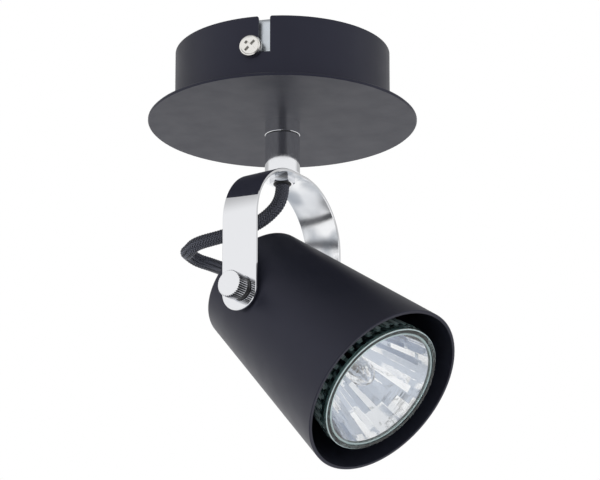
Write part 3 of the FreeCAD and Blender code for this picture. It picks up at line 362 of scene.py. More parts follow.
def soft_rubber():
    """Moulded synthetic rubber: dull black with a broad weak highlight."""
    made, tree, shader = new_material("soft_rubber", Base_Color=colour("#161617"),
                                      Roughness=0.7, IOR=1.52)
    emboss(tree, shader, grain(tree, 0.5).outputs["Fac"], 0.01)
    return made


def woven_polyester():
    """Black polyester yarn, with a painted highlight, bluish grey, on each carrier's crown, and
    painted shade, black, where it dives.
    """
    made, tree, shader = new_material(
        "woven_polyester", Base_Color=colour("#2B2C35"), Roughness=0.36, IOR=1.42,
        Sheen_Weight=0.08, Sheen_Roughness=0.3, Sheen_Tint=colour("#B4BAD0"))
    yarn = add(tree, "ShaderNodeUVMap", uv_map="yarn")
    axes = add(tree, "ShaderNodeSeparateXYZ", {"Vector": yarn.outputs["UV"]})
    # X goes once round the carrier, from its crown, and Y counts millimetres along it
    turn = add(tree, MATH, (axes.outputs["X"], 2 * math.pi), operation="MULTIPLY")
    top = add(tree, MATH, (turn,), operation="COSINE")
    crown = add(tree, RAMP, {"Value": top, "From Min": -0.2, "From Max": 1.0},
                interpolation_type="SMOOTHSTEP")
    # painted highlight and painted shade: the base colour runs from near black on the sides of
    # each carrier, where it dives, to bluish grey on its crown
    tint = add(tree, MIX, {"Factor": crown, "A": colour("#101116"), "B": colour("#5C5E6A")},
               data_type="RGBA")
    tree.links.new(tint.outputs["Result"], shader.inputs["Base Color"])
    # filaments twist round the carrier, so that another comes up at every step along it. They
    # are drawn coarser than real ones, so that they show
    round_phase = add(tree, MATH, (turn, FILAMENTS), operation="MULTIPLY")
    length_phase = add(tree, MATH, (axes.outputs["Y"], 2 * math.pi / FILAMENT_STEP),
                       operation="MULTIPLY")
    phase = add(tree, MATH, (round_phase, length_phase), operation="ADD")
    wave = add(tree, MATH, (phase,), operation="SINE")
    height = add(tree, RAMP, {"Value": wave, "From Min": -1.0, "From Max": 1.0})
    emboss(tree, shader, height.outputs["Result"], 0.02, 0.6)
    return made


def cable_sheath(name, code):
    """Extruded insulation: smooth soft plastic."""
    made, tree, shader = new_material(name, Base_Color=colour(code), Roughness=0.42, IOR=1.5)
    roughen(tree, shader, grain(tree, 2.5), 0.36, 0.48)
    return made


def fired_steatite():
    """Unglazed steatite ceramic: chalky off-white with tiny darker specks."""
    made, tree, shader = new_material("fired_steatite", Base_Color=colour("#DAD4C6"),
                                      Roughness=0.62, IOR=1.55)
    speck = grain(tree, 0.6)
    tint = add(tree, "ShaderNodeValToRGB", {"Fac": speck.outputs["Fac"]})
    tint.color_ramp.elements[0].color = colour("#B9B2A2")
    tint.color_ramp.elements[0].position = 0.36
    tint.color_ramp.elements[1].color = colour("#DDD8CB")
    tint.color_ramp.elements[1].position = 0.46
    tree.links.new(tint.outputs["Color"], shader.inputs["Base Color"])
    emboss(tree, shader, speck.outputs["Fac"], 0.02)
    return made


def from_lamp_face(tree):
    """Distances from the middle of the lamp's face, two across it and one out along the beam,
    and the distance from the lamp's axis."""
    place = add(tree, "ShaderNodeTexCoord")
    arm = add(tree, VECTOR, (place.outputs["Object"], LAMP_FRAME.translation),
              operation="SUBTRACT")
    axes = [add(tree, VECTOR, (arm, LAMP_FRAME.col[i].to_3d()),
                operation="DOT_PRODUCT").outputs["Value"] for i in range(3)]
    flat = add(tree, "ShaderNodeCombineXYZ", {"X": axes[0], "Y": axes[1]})
    radius = add(tree, VECTOR, (flat,), operation="LENGTH")
    return axes, radius.outputs["Value"]


def lamp_cement():
    """Set cement: plain white and faintly grainy."""
    made, tree, shader = new_material("lamp_cement", Base_Color=colour("#F3F1EC"), Roughness=0.7)
    emboss(tree, shader, grain(tree, 0.5).outputs["Fac"], 0.03)
    return made


def pressed_glass():
    """Pressed borosilicate glass: a clear rim with a milky edge, and milky ribs behind it."""
    made, tree, shader = new_material("pressed_glass", Base_Color=colour("#D2E4E3"),
                                      Roughness=0.03, IOR=1.47, Transmission_Weight=1.0)
    axes, radius = from_lamp_face(tree)
    # the outer edge is ground, so it catches light
    edge = add(tree, RAMP, {"Value": radius, "From Min": RIM_EDGE * MM,
                            "From Max": (RIM_EDGE + RIM_BLUR) * MM},
               interpolation_type="SMOOTHSTEP")
    front = add(tree, RAMP, {"Value": axes[2], "From Min": RIM_START * MM,
                             "From Max": RIM_END * MM}, interpolation_type="SMOOTHSTEP")
    outer = add(tree, MATH, (edge, front), operation="MULTIPLY")
    # the ribs scatter light too, and the glass between them is dark
    angle = add(tree, MATH, (axes[1], axes[0]), operation="ARCTAN2")
    round_ribs = add(tree, MATH, (angle, float(RIBS)), operation="MULTIPLY")
    wave = add(tree, MATH, (round_ribs,), operation="COSINE")
    crest = add(tree, RAMP, {"Value": wave, "From Min": 0.1, "From Max": 0.5},
                interpolation_type="SMOOTHSTEP")
    flank = add(tree, RAMP, {"Value": axes[2], "From Min": FLANK_START * MM,
                             "From Max": FLANK_END * MM}, interpolation_type="SMOOTHSTEP")
    ribbed = add(tree, MATH, (crest, flank), operation="MULTIPLY")
    rib = add(tree, MATH, (ribbed, RIB_MILK), operation="MULTIPLY")
    milky = add(tree, MATH, (outer, rib), operation="MAXIMUM")
    clear = add(tree, MATH, (1.0, milky), operation="SUBTRACT")
    tree.links.new(clear.outputs["Value"], shader.inputs["Transmission Weight"])
    return made


def cover_glass():
    """Clear cover glass, pressed: almost invisible, with soft ripples and a milky green edge."""
    made, tree, shader = new_material("cover_glass", Base_Color=WHITE,
                                      Roughness=0.01, IOR=1.47, Transmission_Weight=1.0)
    radius = from_lamp_face(tree)[1]
    edge = add(tree, RAMP, {"Value": radius, "From Min": COVER_EDGE * MM,
                            "From Max": (COVER_EDGE + COVER_BLUR) * MM},
               interpolation_type="SMOOTHSTEP")
    tint = add(tree, MIX, {"Factor": edge, "A": WHITE, "B": colour("#C9DEDD")},
               data_type="RGBA")
    tree.links.new(tint.outputs["Result"], shader.inputs["Base Color"])
    milky = add(tree, MATH, (edge, COVER_MILK), operation="MULTIPLY")
    clear = add(tree, MATH, (1.0, milky), operation="SUBTRACT")
    tree.links.new(clear.outputs["Value"], shader.inputs["Transmission Weight"])
    emboss(tree, shader, grain(tree, 5.0, 1.0).outputs["Fac"], 0.006)
    return made


def fused_quartz():
    """Fused quartz capsule: clear, and lumpy all over."""
    made, tree, shader = new_material("fused_quartz", Base_Color=WHITE,
                                      Roughness=0.03, IOR=1.22, Transmission_Weight=1.0)
    emboss(tree, shader, grain(tree, 2.2, 2.0).outputs["Fac"], 0.3)
    return made


def vapour_coated_mirror():
    """Aluminium film on the facets: a bright mirror, with a painted reflection, a bluer grey, on
    some facets.
    """
    made, tree, shader = new_material("vapour_coated_mirror", Base_Color=colour("#FCFDFE"),
                                      Metallic=1.0, Roughness=0.08)
    tone = add(tree, "ShaderNodeAttribute", attribute_name="tone")
    # painted reflection: the facets marked in the tone attribute take a bluer grey base colour
    tint = add(tree, MIX, {"Factor": tone.outputs["Fac"], "A": colour("#FCFDFE"),
                           "B": colour("#C4CCD8")}, data_type="RGBA")
    tree.links.new(tint.outputs["Result"], shader.inputs["Base Color"])
    roughen(tree, shader, grain(tree, 3.0), 0.03, 0.1)
    return made


def drawn_tungsten():
    """Coiled tungsten wire: dark grey metal."""
    made, tree, shader = new_material("drawn_tungsten", Base_Color=colour("#8A8782"),
                                      Metallic=1.0, Roughness=0.35)
    roughen(tree, shader, grain(tree, 0.5), 0.3, 0.42)
    return made


ZINC = zinc_plated_steel()
POWDER = powder_coated_steel()
CHROME = polished_chrome_plate()
STRAP_CHROME = chrome_plated_strap()
KNURLED_CHROME = knurled_chrome_plate()
NICKEL = nickel_plated_steel()
BRASS = turned_brass()
BLACK_NYLON = moulded_nylon("black_polyamide", "#151517")
WHITE_NYLON = moulded_nylon("white_polyamide", "#E4E1D8")
RUBBER = soft_rubber()
BRAID = woven_polyester()
SHEATH = cable_sheath("black_cable_sheath", "#1A1A1C")
EARTH = cable_sheath("earth_insulation", "#7FA62A")
BLUE = cable_sheath("blue_insulation", "#2B5FB0")
BROWN = cable_sheath("brown_insulation", "#6A3A1E")
SLEEVE = cable_sheath("white_glass_sleeve", "#E6E3DA")
STEATITE = fired_steatite()
CEMENT = lamp_cement()
GLASS = pressed_glass()
COVER = cover_glass()
QUARTZ = fused_quartz()
MIRROR = vapour_coated_mirror()
TUNGSTEN = drawn_tungsten()

FINISHES = {
    ZINC: ["mounting_bracket", "spindle", "lock_washer", "spindle_nut", "swivel_retainer",
           "block_screw", "stem_plug", "stop_pin", "pivot_bosses", "holder_bridge",
           "bridge_screws"],
    NICKEL: ["canopy_screws", "lamp_pins"],
    BRASS: ["earth_screw", "earth_washer", "earth_tag", "terminal_screws"],
    POWDER: ["canopy_cup", "canopy_disc", "head_shell"],
    CHROME: ["stem_collar", "stem_tube", "hollow_bolt"],
    STRAP_CHROME: ["yoke_strap"],
    KNURLED_CHROME: ["right_knob", "left_knob"],
    BLACK_NYLON: ["swivel_washer", "cord_grip", "grip_screw", "exit_liner", "pivot_washers",
                  "right_knob_washer", "left_knob_washer"],
    WHITE_NYLON: ["terminal_block"],
    RUBBER: ["rear_grommet"],
    SHEATH: ["canopy_cable", "stem_cable", "head_cable", "flex_cable"],
    EARTH: ["earth_core", "bonding_wire"],
    BLUE: ["neutral_core"],
    BROWN: ["live_core"],
    SLEEVE: ["head_leads"],
    STEATITE: ["lamp_holder", "lamp_base"],
    GLASS: ["lamp_reflector"],
    COVER: ["lamp_cover"],
    QUARTZ: ["lamp_capsule"],
}

for finish, names in FINISHES.items():
    for name in names:
        mesh = nodes[name].data
        mesh.materials.clear()
        mesh.materials.append(finish)


# ---------------------------------------------------------------- geometry node trees

def new_tree(name, inputs):
    """Geometry tree with a geometry in and out, and an input named for each size it takes."""
    tree = bpy.data.node_groups.new(name, "GeometryNodeTree")
    tree.interface.new_socket("Geometry", in_out="INPUT", socket_type="NodeSocketGeometry")
    tree.interface.new_socket("Geometry", in_out="OUTPUT", socket_type="NodeSocketGeometry")
    for label, value in inputs.items():
        kind = "NodeSocketInt" if isinstance(value, int) else "NodeSocketFloat"
        tree.interface.new_socket(label, in_out="INPUT", socket_type=kind)
    return tree, add(tree, "NodeGroupInput").outputs


def end_tree(tree, geometry, material, smooth=True):
    """Close a tree: smooth shading, plain geometry and its material."""
    shaded = add(tree, "GeometryNodeSetShadeSmooth",
                 {"Geometry": geometry, "Shade Smooth": smooth})
    plain = add(tree, "GeometryNodeRealizeInstances", {"Geometry": shaded})
    coated = add(tree, "GeometryNodeSetMaterial", {"Geometry": plain, "Material": material})
    add(tree, "NodeGroupOutput", {"Geometry": coated})


def grown(name, host, tree, inputs, frame_matrix=None):
    """Evaluate a tree on its host and keep the result as a plain mesh at the origin."""
    modifier = host.modifiers.new(tree.name, "NODES")
    modifier.node_group = tree
    for item in tree.interface.items_tree:
        if item.in_out == "INPUT" and item.name in inputs:
            modifier[item.identifier] = inputs[item.name]
    bpy.context.view_layer.update()
    graph = bpy.context.evaluated_depsgraph_get()
    mesh = bpy.data.meshes.new_from_object(host.evaluated_get(graph), depsgraph=graph)
    host.modifiers.clear()
    bpy.data.objects.remove(host)
    if frame_matrix is not None:
        mesh.transform(frame_matrix)
    piece = bpy.data.objects.new(name, mesh)
    mesh.name = name
    bpy.context.scene.collection.objects.link(piece)
    return piece


# ---------------------------------------------------------------- braided cable

def cable_line():
    """The cable's centre line: a smooth spline steered by the points of its route."""
    curve = bpy.data.curves.new("cable_line", "CURVE")
    curve.dimensions = "3D"
    curve.resolution_u = LINE_STEPS
    spline = curve.splines.new("NURBS")
    spline.points.add(len(CABLE_ROUTE) - 1)
    for point, place in zip(spline.points, CABLE_ROUTE):
        point.co = (*(YOKE_FRAME @ (Vector(place) * MM)), 1.0)
    spline.order_u = 3
    spline.use_endpoint_u = True
    line = bpy.data.objects.new("cable_line", curve)
    bpy.context.scene.collection.objects.link(line)
    return line


def line_points(line):
    """Points along a curve that has no bevel."""
    graph = bpy.context.evaluated_depsgraph_get()
    mesh = bpy.data.meshes.new_from_object(line.evaluated_get(graph), depsgraph=graph)
    points = [vertex.co.copy() for vertex in mesh.vertices]
    bpy.data.meshes.remove(mesh)
    return points


def braid_tree(inputs, material):
    """Carriers wound both ways round a curve, each passing over two and under two."""
    tree, given = new_tree("braid", inputs)
    path = given["Geometry"]
    core_radius = add(tree, MATH, (given["Radius"], CORE_SHARE), operation="MULTIPLY")
    core_profile = add(tree, "GeometryNodeCurvePrimitiveCircle",
                       {"Resolution": CORE_SIDES, "Radius": core_radius})
    core = add(tree, "GeometryNodeCurveToMesh",
               {"Curve": path, "Profile Curve": core_profile.outputs["Curve"], "Fill Caps": True})
    half_width = add(tree, MATH, (given["Yarn Width"], 0.5), operation="MULTIPLY")
    half_depth = add(tree, MATH, (given["Yarn Thickness"], 0.5), operation="MULTIPLY")
    circle = add(tree, "GeometryNodeCurvePrimitiveCircle",
                 {"Resolution": YARN_SIDES, "Radius": 1.0})
    flat = add(tree, "ShaderNodeCombineXYZ", {"X": half_depth, "Y": half_width, "Z": 1.0})
    profile = add(tree, "GeometryNodeTransform",
                  {"Geometry": circle.outputs["Curve"], "Scale": flat})
    around = add(tree, "GeometryNodeSplineParameter")
    marked = add(tree, "GeometryNodeCaptureAttribute", {"Geometry": profile})
    marked.capture_items.new("FLOAT", "across")
    tree.links.new(around.outputs["Factor"], marked.inputs["across"])
    layers = [core.outputs["Mesh"]]
    for hand in (1, -1):
        seed = add(tree, "GeometryNodeCurvePrimitiveLine", {"End": (0, 0, 1)})
        stepped = add(tree, "GeometryNodeResampleCurve", {"Curve": seed, "Count": given["Steps"]})
        copies = add(tree, "GeometryNodeDuplicateElements",
                     {"Geometry": stepped, "Amount": given["Carriers"]}, domain="SPLINE")
        kept = add(tree, "GeometryNodeCaptureAttribute", {"Geometry": copies.outputs["Geometry"]},
                   domain="CURVE")
        kept.capture_items.new("INT", "carrier")
        tree.links.new(copies.outputs["Duplicate Index"], kept.inputs["carrier"])
        carrier = kept.outputs["carrier"]
        share = add(tree, "GeometryNodeSplineParameter").outputs["Factor"]
        turns = add(tree, MATH, (share, given["Turns"]), operation="MULTIPLY")
        start = add(tree, MATH, (carrier, given["Carriers"]), operation="DIVIDE")
        signed = add(tree, MATH, (turns, float(hand)), operation="MULTIPLY")
        lap = add(tree, MATH, (start, signed), operation="ADD")
        angle = add(tree, MATH, (lap, 2 * math.pi), operation="MULTIPLY")
        # a carrier meets two of the other hand's for each place that it passes
        met = add(tree, MATH, (given["Carriers"], 2.0), operation="MULTIPLY")
        crossings = add(tree, MATH, (signed, met), operation="MULTIPLY")
        first = add(tree, MATH, (carrier, 2.0), operation="MULTIPLY")
        order = add(tree, MATH, (first, crossings), operation="ADD")
        quarter = add(tree, MATH, (order, math.pi / 2), operation="MULTIPLY")
        phase = add(tree, MATH, (quarter, math.pi / 4), operation="SUBTRACT")
        # the swing is cut off flat, so that a carrier lies level where it is over or under
        wave = add(tree, MATH, (phase,), operation="COSINE")
        swing = add(tree, MATH, (wave, YARN_SWING * hand), operation="MULTIPLY")
        capped = add(tree, MATH, (swing, 1.0), operation="MINIMUM")
        level = add(tree, MATH, (capped, -1.0), operation="MAXIMUM")
        step = add(tree, MATH, (half_depth, YARN_LIFT), operation="MULTIPLY")
        lift = add(tree, MATH, (level, step), operation="MULTIPLY")
        inset = add(tree, MATH, (half_depth, 1.0 + YARN_LIFT), operation="MULTIPLY")
        ring = add(tree, MATH, (given["Radius"], inset), operation="SUBTRACT")
        reach = add(tree, MATH, (ring, lift), operation="ADD")
        spot = add(tree, "GeometryNodeSampleCurve", {"Curves": path, "Factor": share},
                   mode="FACTOR", use_all_curves=True)
        side = add(tree, VECTOR, (spot.outputs["Tangent"], spot.outputs["Normal"]),
                   operation="CROSS_PRODUCT")
        cosine = add(tree, MATH, (angle,), operation="COSINE")
        sine = add(tree, MATH, (angle,), operation="SINE")
        part_a = add(tree, VECTOR, {0: spot.outputs["Normal"], "Scale": cosine}, operation="SCALE")
        part_b = add(tree, VECTOR, {0: side, "Scale": sine}, operation="SCALE")
        outward = add(tree, VECTOR, (part_a, part_b), operation="ADD")
        arm = add(tree, VECTOR, {0: outward, "Scale": reach}, operation="SCALE")
        place = add(tree, VECTOR, (spot.outputs["Position"], arm), operation="ADD")
        facing = add(tree, "GeometryNodeCaptureAttribute", {"Geometry": kept.outputs["Geometry"]})
        facing.capture_items.new("VECTOR", "outward")
        tree.links.new(outward.outputs[0], facing.inputs["outward"])
        wound = add(tree, "GeometryNodeSetPosition",
                    {"Geometry": facing.outputs["Geometry"], "Position": place})
        laid = add(tree, "GeometryNodeSetCurveNormal",
                   {"Curve": wound, "Normal": facing.outputs["outward"]}, mode="FREE")
        length = add(tree, "GeometryNodeSplineParameter")
        measured = add(tree, "GeometryNodeCaptureAttribute", {"Geometry": laid})
        measured.capture_items.new("FLOAT", "along")
        tree.links.new(length.outputs["Length"], measured.inputs["along"])
        yarn = add(tree, "GeometryNodeCurveToMesh",
                   {"Curve": measured.outputs["Geometry"],
                    "Profile Curve": marked.outputs["Geometry"], "Fill Caps": True})
        # a share of the way round the yarn, and millimetres along it
        distance = add(tree, MATH, (measured.outputs["along"], MM), operation="DIVIDE")
        unrolled = add(tree, "ShaderNodeCombineXYZ",
                       {"X": marked.outputs["across"], "Y": distance})
        mapped = add(tree, "GeometryNodeStoreNamedAttribute",
                     {"Geometry": yarn.outputs["Mesh"], "Name": "yarn", "Value": unrolled},
                     data_type="FLOAT2", domain="CORNER")
        layers.append(mapped.outputs[0])
    joined = add(tree, "GeometryNodeJoinGeometry")
    for layer in layers:
        tree.links.new(layer, joined.inputs[0])
    end_tree(tree, joined.outputs[0], material)
    return tree


def make_cable():
    """Braided cable along its route, which is a cord."""
    line = cable_line()
    points = line_points(line)
    length = sum((b - a).length for a, b in zip(points, points[1:]))
    turns = length / (BRAID_PITCH * MM)
    slope = math.atan(2 * math.pi * CABLE_RADIUS / BRAID_PITCH)
    spacing = 2 * math.pi * CABLE_RADIUS / BRAID_CARRIERS * math.cos(slope)
    inputs = {"Radius": CABLE_RADIUS * MM, "Carriers": BRAID_CARRIERS, "Turns": turns,
              "Yarn Width": YARN_COVER * spacing * MM, "Yarn Thickness": YARN_THICKNESS * MM,
              "Steps": BRAID_STEPS}
    cable = grown("braided_cable", line, braid_tree(inputs, BRAID), inputs)
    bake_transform(cable)
    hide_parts("flex_cable")


make_cable()


# ---------------------------------------------------------------- mirror inside the lamp

def mirror_tree(inputs, material):
    """Bowl of pressed facets on a grid: X runs round the bowl and Y from its neck to its rim."""
    tree, given = new_tree("mirror_facets", inputs)
    across, up = [add(tree, MATH, (given[name], FACET_PARTS), operation="MULTIPLY")
                  for name in ("Flutes", "Rows")]
    grid = add(tree, "GeometryNodeMeshGrid",
               {"Size X": 1.0, "Size Y": 1.0,
                "Vertices X": add(tree, MATH, (across, 1.0), operation="ADD"),
                "Vertices Y": add(tree, MATH, (up, 1.0), operation="ADD")})
    spot = add(tree, "ShaderNodeSeparateXYZ", {"Vector": add(tree, "GeometryNodeInputPosition")})
    share = add(tree, MATH, (spot.outputs["X"], 0.5), operation="ADD")
    climb = add(tree, MATH, (spot.outputs["Y"], 0.5), operation="ADD")
    # which flute a point is in, and which of the flute's facets, as no two flutes start alike.
    # The nudge keeps the points on a flute's border out of the flute before
    flutes = add(tree, MATH, (share, given["Flutes"]), operation="MULTIPLY")
    turned = add(tree, MATH, (flutes, FLUTE_NUDGE), operation="ADD")
    whole = add(tree, MATH, (turned,), operation="FLOOR")
    flute = add(tree, MATH, (whole, given["Flutes"]), operation="MODULO")
    start = add(tree, "FunctionNodeRandomValue", {"ID": flute, "Seed": ROW_SEED},
                data_type="FLOAT").outputs["Value"]
    rows = add(tree, MATH, (climb, given["Rows"]), operation="MULTIPLY")
    row = add(tree, MATH, (rows, start), operation="ADD")
    number = add(tree, MATH, (row,), operation="FLOOR")
    first = add(tree, MATH, (flute, FLUTE_STRIDE), operation="MULTIPLY")
    facet = add(tree, MATH, (first, number), operation="ADD")
    tone, lean, nod = [add(tree, "FunctionNodeRandomValue", {"ID": facet, "Seed": seed},
                           data_type="FLOAT").outputs["Value"]
                       for seed in (TONE_SEED, LEAN_SEED, NOD_SEED)]
    # the facets with a painted reflection, a bluer grey that stands in for the dark side of the
    # room, lie together in patches, whose ends are stepped from flute to flute
    angle = add(tree, MATH, (share, 2 * math.pi), operation="MULTIPLY")
    cosine = add(tree, MATH, (angle,), operation="COSINE")
    sine = add(tree, MATH, (angle,), operation="SINE")
    across_face = add(tree, "ShaderNodeCombineXYZ",
                      {"X": add(tree, MATH, (climb, cosine), operation="MULTIPLY"),
                       "Y": add(tree, MATH, (climb, sine), operation="MULTIPLY")})
    patch = add(tree, "ShaderNodeTexNoise",
                {"Vector": across_face, "Scale": PATCH_SCALE, "Detail": 0.0})
    stray = add(tree, MATH, (tone, TONE_STRAY), operation="MULTIPLY")
    mood = add(tree, MATH, (patch.outputs["Fac"], stray), operation="ADD")
    blue = add(tree, MATH, (mood, 1.0 - PAINTED_REFLECTION_SHARE), operation="GREATER_THAN")
    toned = add(tree, "GeometryNodeStoreNamedAttribute",
                {"Geometry": grid.outputs["Mesh"], "Name": "tone", "Value": blue},
                data_type="FLOAT", domain="FACE")
    # every facet is a low pillow that leans its own way, measured from its middle
    in_flute, in_row = [add(tree, MATH, (add(tree, MATH, (count,), operation="FRACT"), 0.5),
                            operation="SUBTRACT") for count in (turned, row)]
    sideways, endways = [add(tree, MATH, (drawn, 0.5), operation="SUBTRACT")
                         for drawn in (lean, nod)]
    square = add(tree, MATH, (in_flute, in_flute), operation="MULTIPLY")
    crown = add(tree, MATH, (0.25, square), operation="SUBTRACT")
    height = add(tree, MATH, (given["Crown"], 4.0), operation="MULTIPLY")
    raised = add(tree, MATH, (crown, height), operation="MULTIPLY")
    sloped = add(tree, MATH, (sideways, in_flute), operation="MULTIPLY")
    leaning = add(tree, MATH, (sloped, given["Lean"]), operation="MULTIPLY")
    tipped = add(tree, MATH, (endways, in_row), operation="MULTIPLY")
    nodding = add(tree, MATH, (tipped, given["Nod"]), operation="MULTIPLY")
    tilted = add(tree, MATH, (leaning, nodding), operation="ADD")
    full = add(tree, MATH, (raised, tilted), operation="ADD")
    # the relief runs out before the rim, which is round
    faded = add(tree, RAMP, {"Value": climb, "From Min": 1.0, "From Max": RELIEF_END},
                interpolation_type="SMOOTHSTEP")
    relief = add(tree, MATH, (full, faded), operation="MULTIPLY")
    # a parabola from the neck to the rim
    neck, rim = given["Neck Radius"], given["Rim Radius"]
    width = add(tree, MATH, (rim, neck), operation="SUBTRACT")
    widened = add(tree, MATH, (width, climb), operation="MULTIPLY")
    plain = add(tree, MATH, (neck, widened), operation="ADD")
    neck_area, rim_area, plain_area = [add(tree, MATH, (size, size), operation="MULTIPLY")
                                       for size in (neck, rim, plain)]
    area = add(tree, MATH, (plain_area, neck_area), operation="SUBTRACT")
    whole_area = add(tree, MATH, (rim_area, neck_area), operation="SUBTRACT")
    risen = add(tree, MATH, (area, whole_area), operation="DIVIDE")
    depth = add(tree, MATH, (given["Front"], given["Back"]), operation="SUBTRACT")
    lifted = add(tree, MATH, (risen, depth), operation="MULTIPLY")
    level = add(tree, MATH, (given["Back"], lifted), operation="ADD")
    radius = add(tree, MATH, (plain, relief), operation="SUBTRACT")
    place = add(tree, "ShaderNodeCombineXYZ",
                {"X": add(tree, MATH, (radius, cosine), operation="MULTIPLY"),
                 "Y": add(tree, MATH, (radius, sine), operation="MULTIPLY"), "Z": level})
    bowl = add(tree, "GeometryNodeSetPosition", {"Geometry": toned, "Position": place})
    closed = add(tree, "GeometryNodeMergeByDistance",
                 {"Geometry": bowl, "Distance": MIRROR_SEAM * MM})
    end_tree(tree, closed.outputs[0], material, smooth=False)
    return tree


def filament_tree(inputs, material):
    """Coil of fine wire that stands on its two legs, on the lamp's axis."""
    tree, given = new_tree("filament", inputs)
    height = add(tree, MATH, (given["Top"], given["Bottom"]), operation="SUBTRACT")
    coil = add(tree, "GeometryNodeCurveSpiral",
               {"Resolution": COIL_STEPS, "Rotations": given["Turns"],
                "Start Radius": given["Radius"], "End Radius": given["Radius"],
                "Height": height})
    foot = add(tree, "ShaderNodeCombineXYZ", {"Z": given["Bottom"]})
    lifted = add(tree, "GeometryNodeTransform", {"Geometry": coil, "Translation": foot})
    wires = add(tree, "GeometryNodeJoinGeometry")
    tree.links.new(lifted.outputs[0], wires.inputs[0])
    for side, top in ((NEAR_LEG, given["Bottom"]), (FAR_LEG, given["Top"])):
        beside = add(tree, MATH, (given["Radius"], side), operation="MULTIPLY")
        low = add(tree, "ShaderNodeCombineXYZ", {"X": beside, "Z": given["Root"]})
        high = add(tree, "ShaderNodeCombineXYZ", {"X": beside, "Z": top})
        leg = add(tree, "GeometryNodeCurvePrimitiveLine", {"Start": low, "End": high})
        tree.links.new(leg.outputs[0], wires.inputs[0])
    profile = add(tree, "GeometryNodeCurvePrimitiveCircle",
                  {"Resolution": WIRE_SIDES, "Radius": given["Wire Radius"]})
    drawn = add(tree, "GeometryNodeCurveToMesh",
                {"Curve": wires, "Profile Curve": profile.outputs["Curve"], "Fill Caps": True})
    end_tree(tree, drawn.outputs["Mesh"], material)
    return tree


def empty_host(name):
    """Mesh object with nothing in it, for a tree that makes its own geometry."""
    host = bpy.data.objects.new(name, bpy.data.meshes.new(name))
    bpy.context.scene.collection.objects.link(host)
    return host


def make_mirror():
    """Pressed facets on the inside of the lamp's glass."""
    inputs = {"Flutes": FLUTES, "Rows": FLUTE_ROWS, "Rim Radius": MIRROR_RADIUS * MM,
              "Neck Radius": MIRROR_NECK * MM, "Front": MIRROR_FRONT * MM,
              "Back": MIRROR_BACK * MM, "Crown": FACET_CROWN * MM, "Lean": FACET_LEAN * MM,
              "Nod": FACET_NOD * MM}
    mirror = grown("mirror_facets", empty_host("mirror_host"), mirror_tree(inputs, MIRROR), inputs,
                   LAMP_FRAME)
    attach(mirror, "lamp")


def make_filament():
    """Filament in the capsule."""
    inputs = {"Radius": COIL_RADIUS * MM, "Turns": COIL_TURNS, "Bottom": COIL_BOTTOM * MM,
              "Top": COIL_TOP * MM, "Root": MIRROR_BACK * MM, "Wire Radius": WIRE_RADIUS * MM}
    filament = grown("filament", empty_host("filament_host"), filament_tree(inputs, TUNGSTEN),
                     inputs, LAMP_FRAME)
    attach(filament, "lamp")


def make_cement():
    """White cement that holds the capsule in the neck, with its hollow meniscus."""
    form = bmesh.new()
    points = [form.verts.new((radius * MM, 0, height * MM)) for radius, height in CEMENT_PROFILE]
    edges = [form.edges.new(pair) for pair in zip(points, points[1:])]
    bmesh.ops.spin(form, geom=points + edges, axis=(0, 0, 1), steps=CEMENT_SIDES,
                   angle=2 * math.pi)
    bmesh.ops.remove_doubles(form, verts=form.verts, dist=CEMENT_SEAM * MM)
    bmesh.ops.recalc_face_normals(form, faces=form.faces)
    mesh = bpy.data.meshes.new("neck_cement")
    form.to_mesh(mesh)
    form.free()
    mesh.materials.append(CEMENT)
    mesh.transform(LAMP_FRAME)
    cement = bpy.data.objects.new("neck_cement", mesh)
    bpy.context.scene.collection.objects.link(cement)
    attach(cement, "lamp")


make_mirror()
make_filament()
make_cement()

# ---------------------------------------------------------------- floor, light and camera

# floor, in metres: it is plain in the middle and fades to white on its way out
FLOOR_Z = -1.0
FLOOR_REACH = 2.0
FLOOR_SIDES = 96
FLOOR_FADE_START = 0.5
FLOOR_FADE_END = 1.2

# what mirrors see: a dimmer ceiling, a dark place to one side, which is given by the cosine
# of the angle from its middle, and a dim wall on the far side, above the horizon
SOFT_LEVEL = 0.95
OVERHEAD_START = 0.45
OVERHEAD_END = 0.95
OVERHEAD_LEVEL = 0.4
DARK_SIDE = (0.268, -0.8986, -0.3476)
DARK_EDGE = 0.829
DARK_CORE = 0.970
DARKNESS = 0.85
FAR_SIDE = (-0.2857, 0.9583, 0.0)
FAR_EDGE = 0.5
FAR_DIMMING = 0.45
HORIZON = 0.05
WALL_RISE = 0.35
GLASS_SHARE = 0.15

# camera: its place round the lamp in degrees and millimetres, its aim in radians
CAMERA_AZIMUTH = 16.6
CAMERA_RISE = 20.34
CAMERA_DISTANCE = 1500.0
CAMERA_OFFSET = 0.25
CAMERA_YAW = 0.004818
CAMERA_PITCH = 0.32596
FOCAL_PIXELS = 4032.25
IMAGE_WIDTH = 600
SENSOR_WIDTH = 36.0


def seen_directly(tree):
    """1 for what the camera sees straight, in a mirror or through glass, and 0 for plain light."""
    path = add(tree, "ShaderNodeLightPath")
    mirrored = add(tree, MATH, (path.outputs["Is Glossy Ray"],
                                path.outputs["Is Transmission Ray"]), operation="MAXIMUM")
    return add(tree, MATH, (mirrored, path.outputs["Is Camera Ray"]), operation="MAXIMUM")


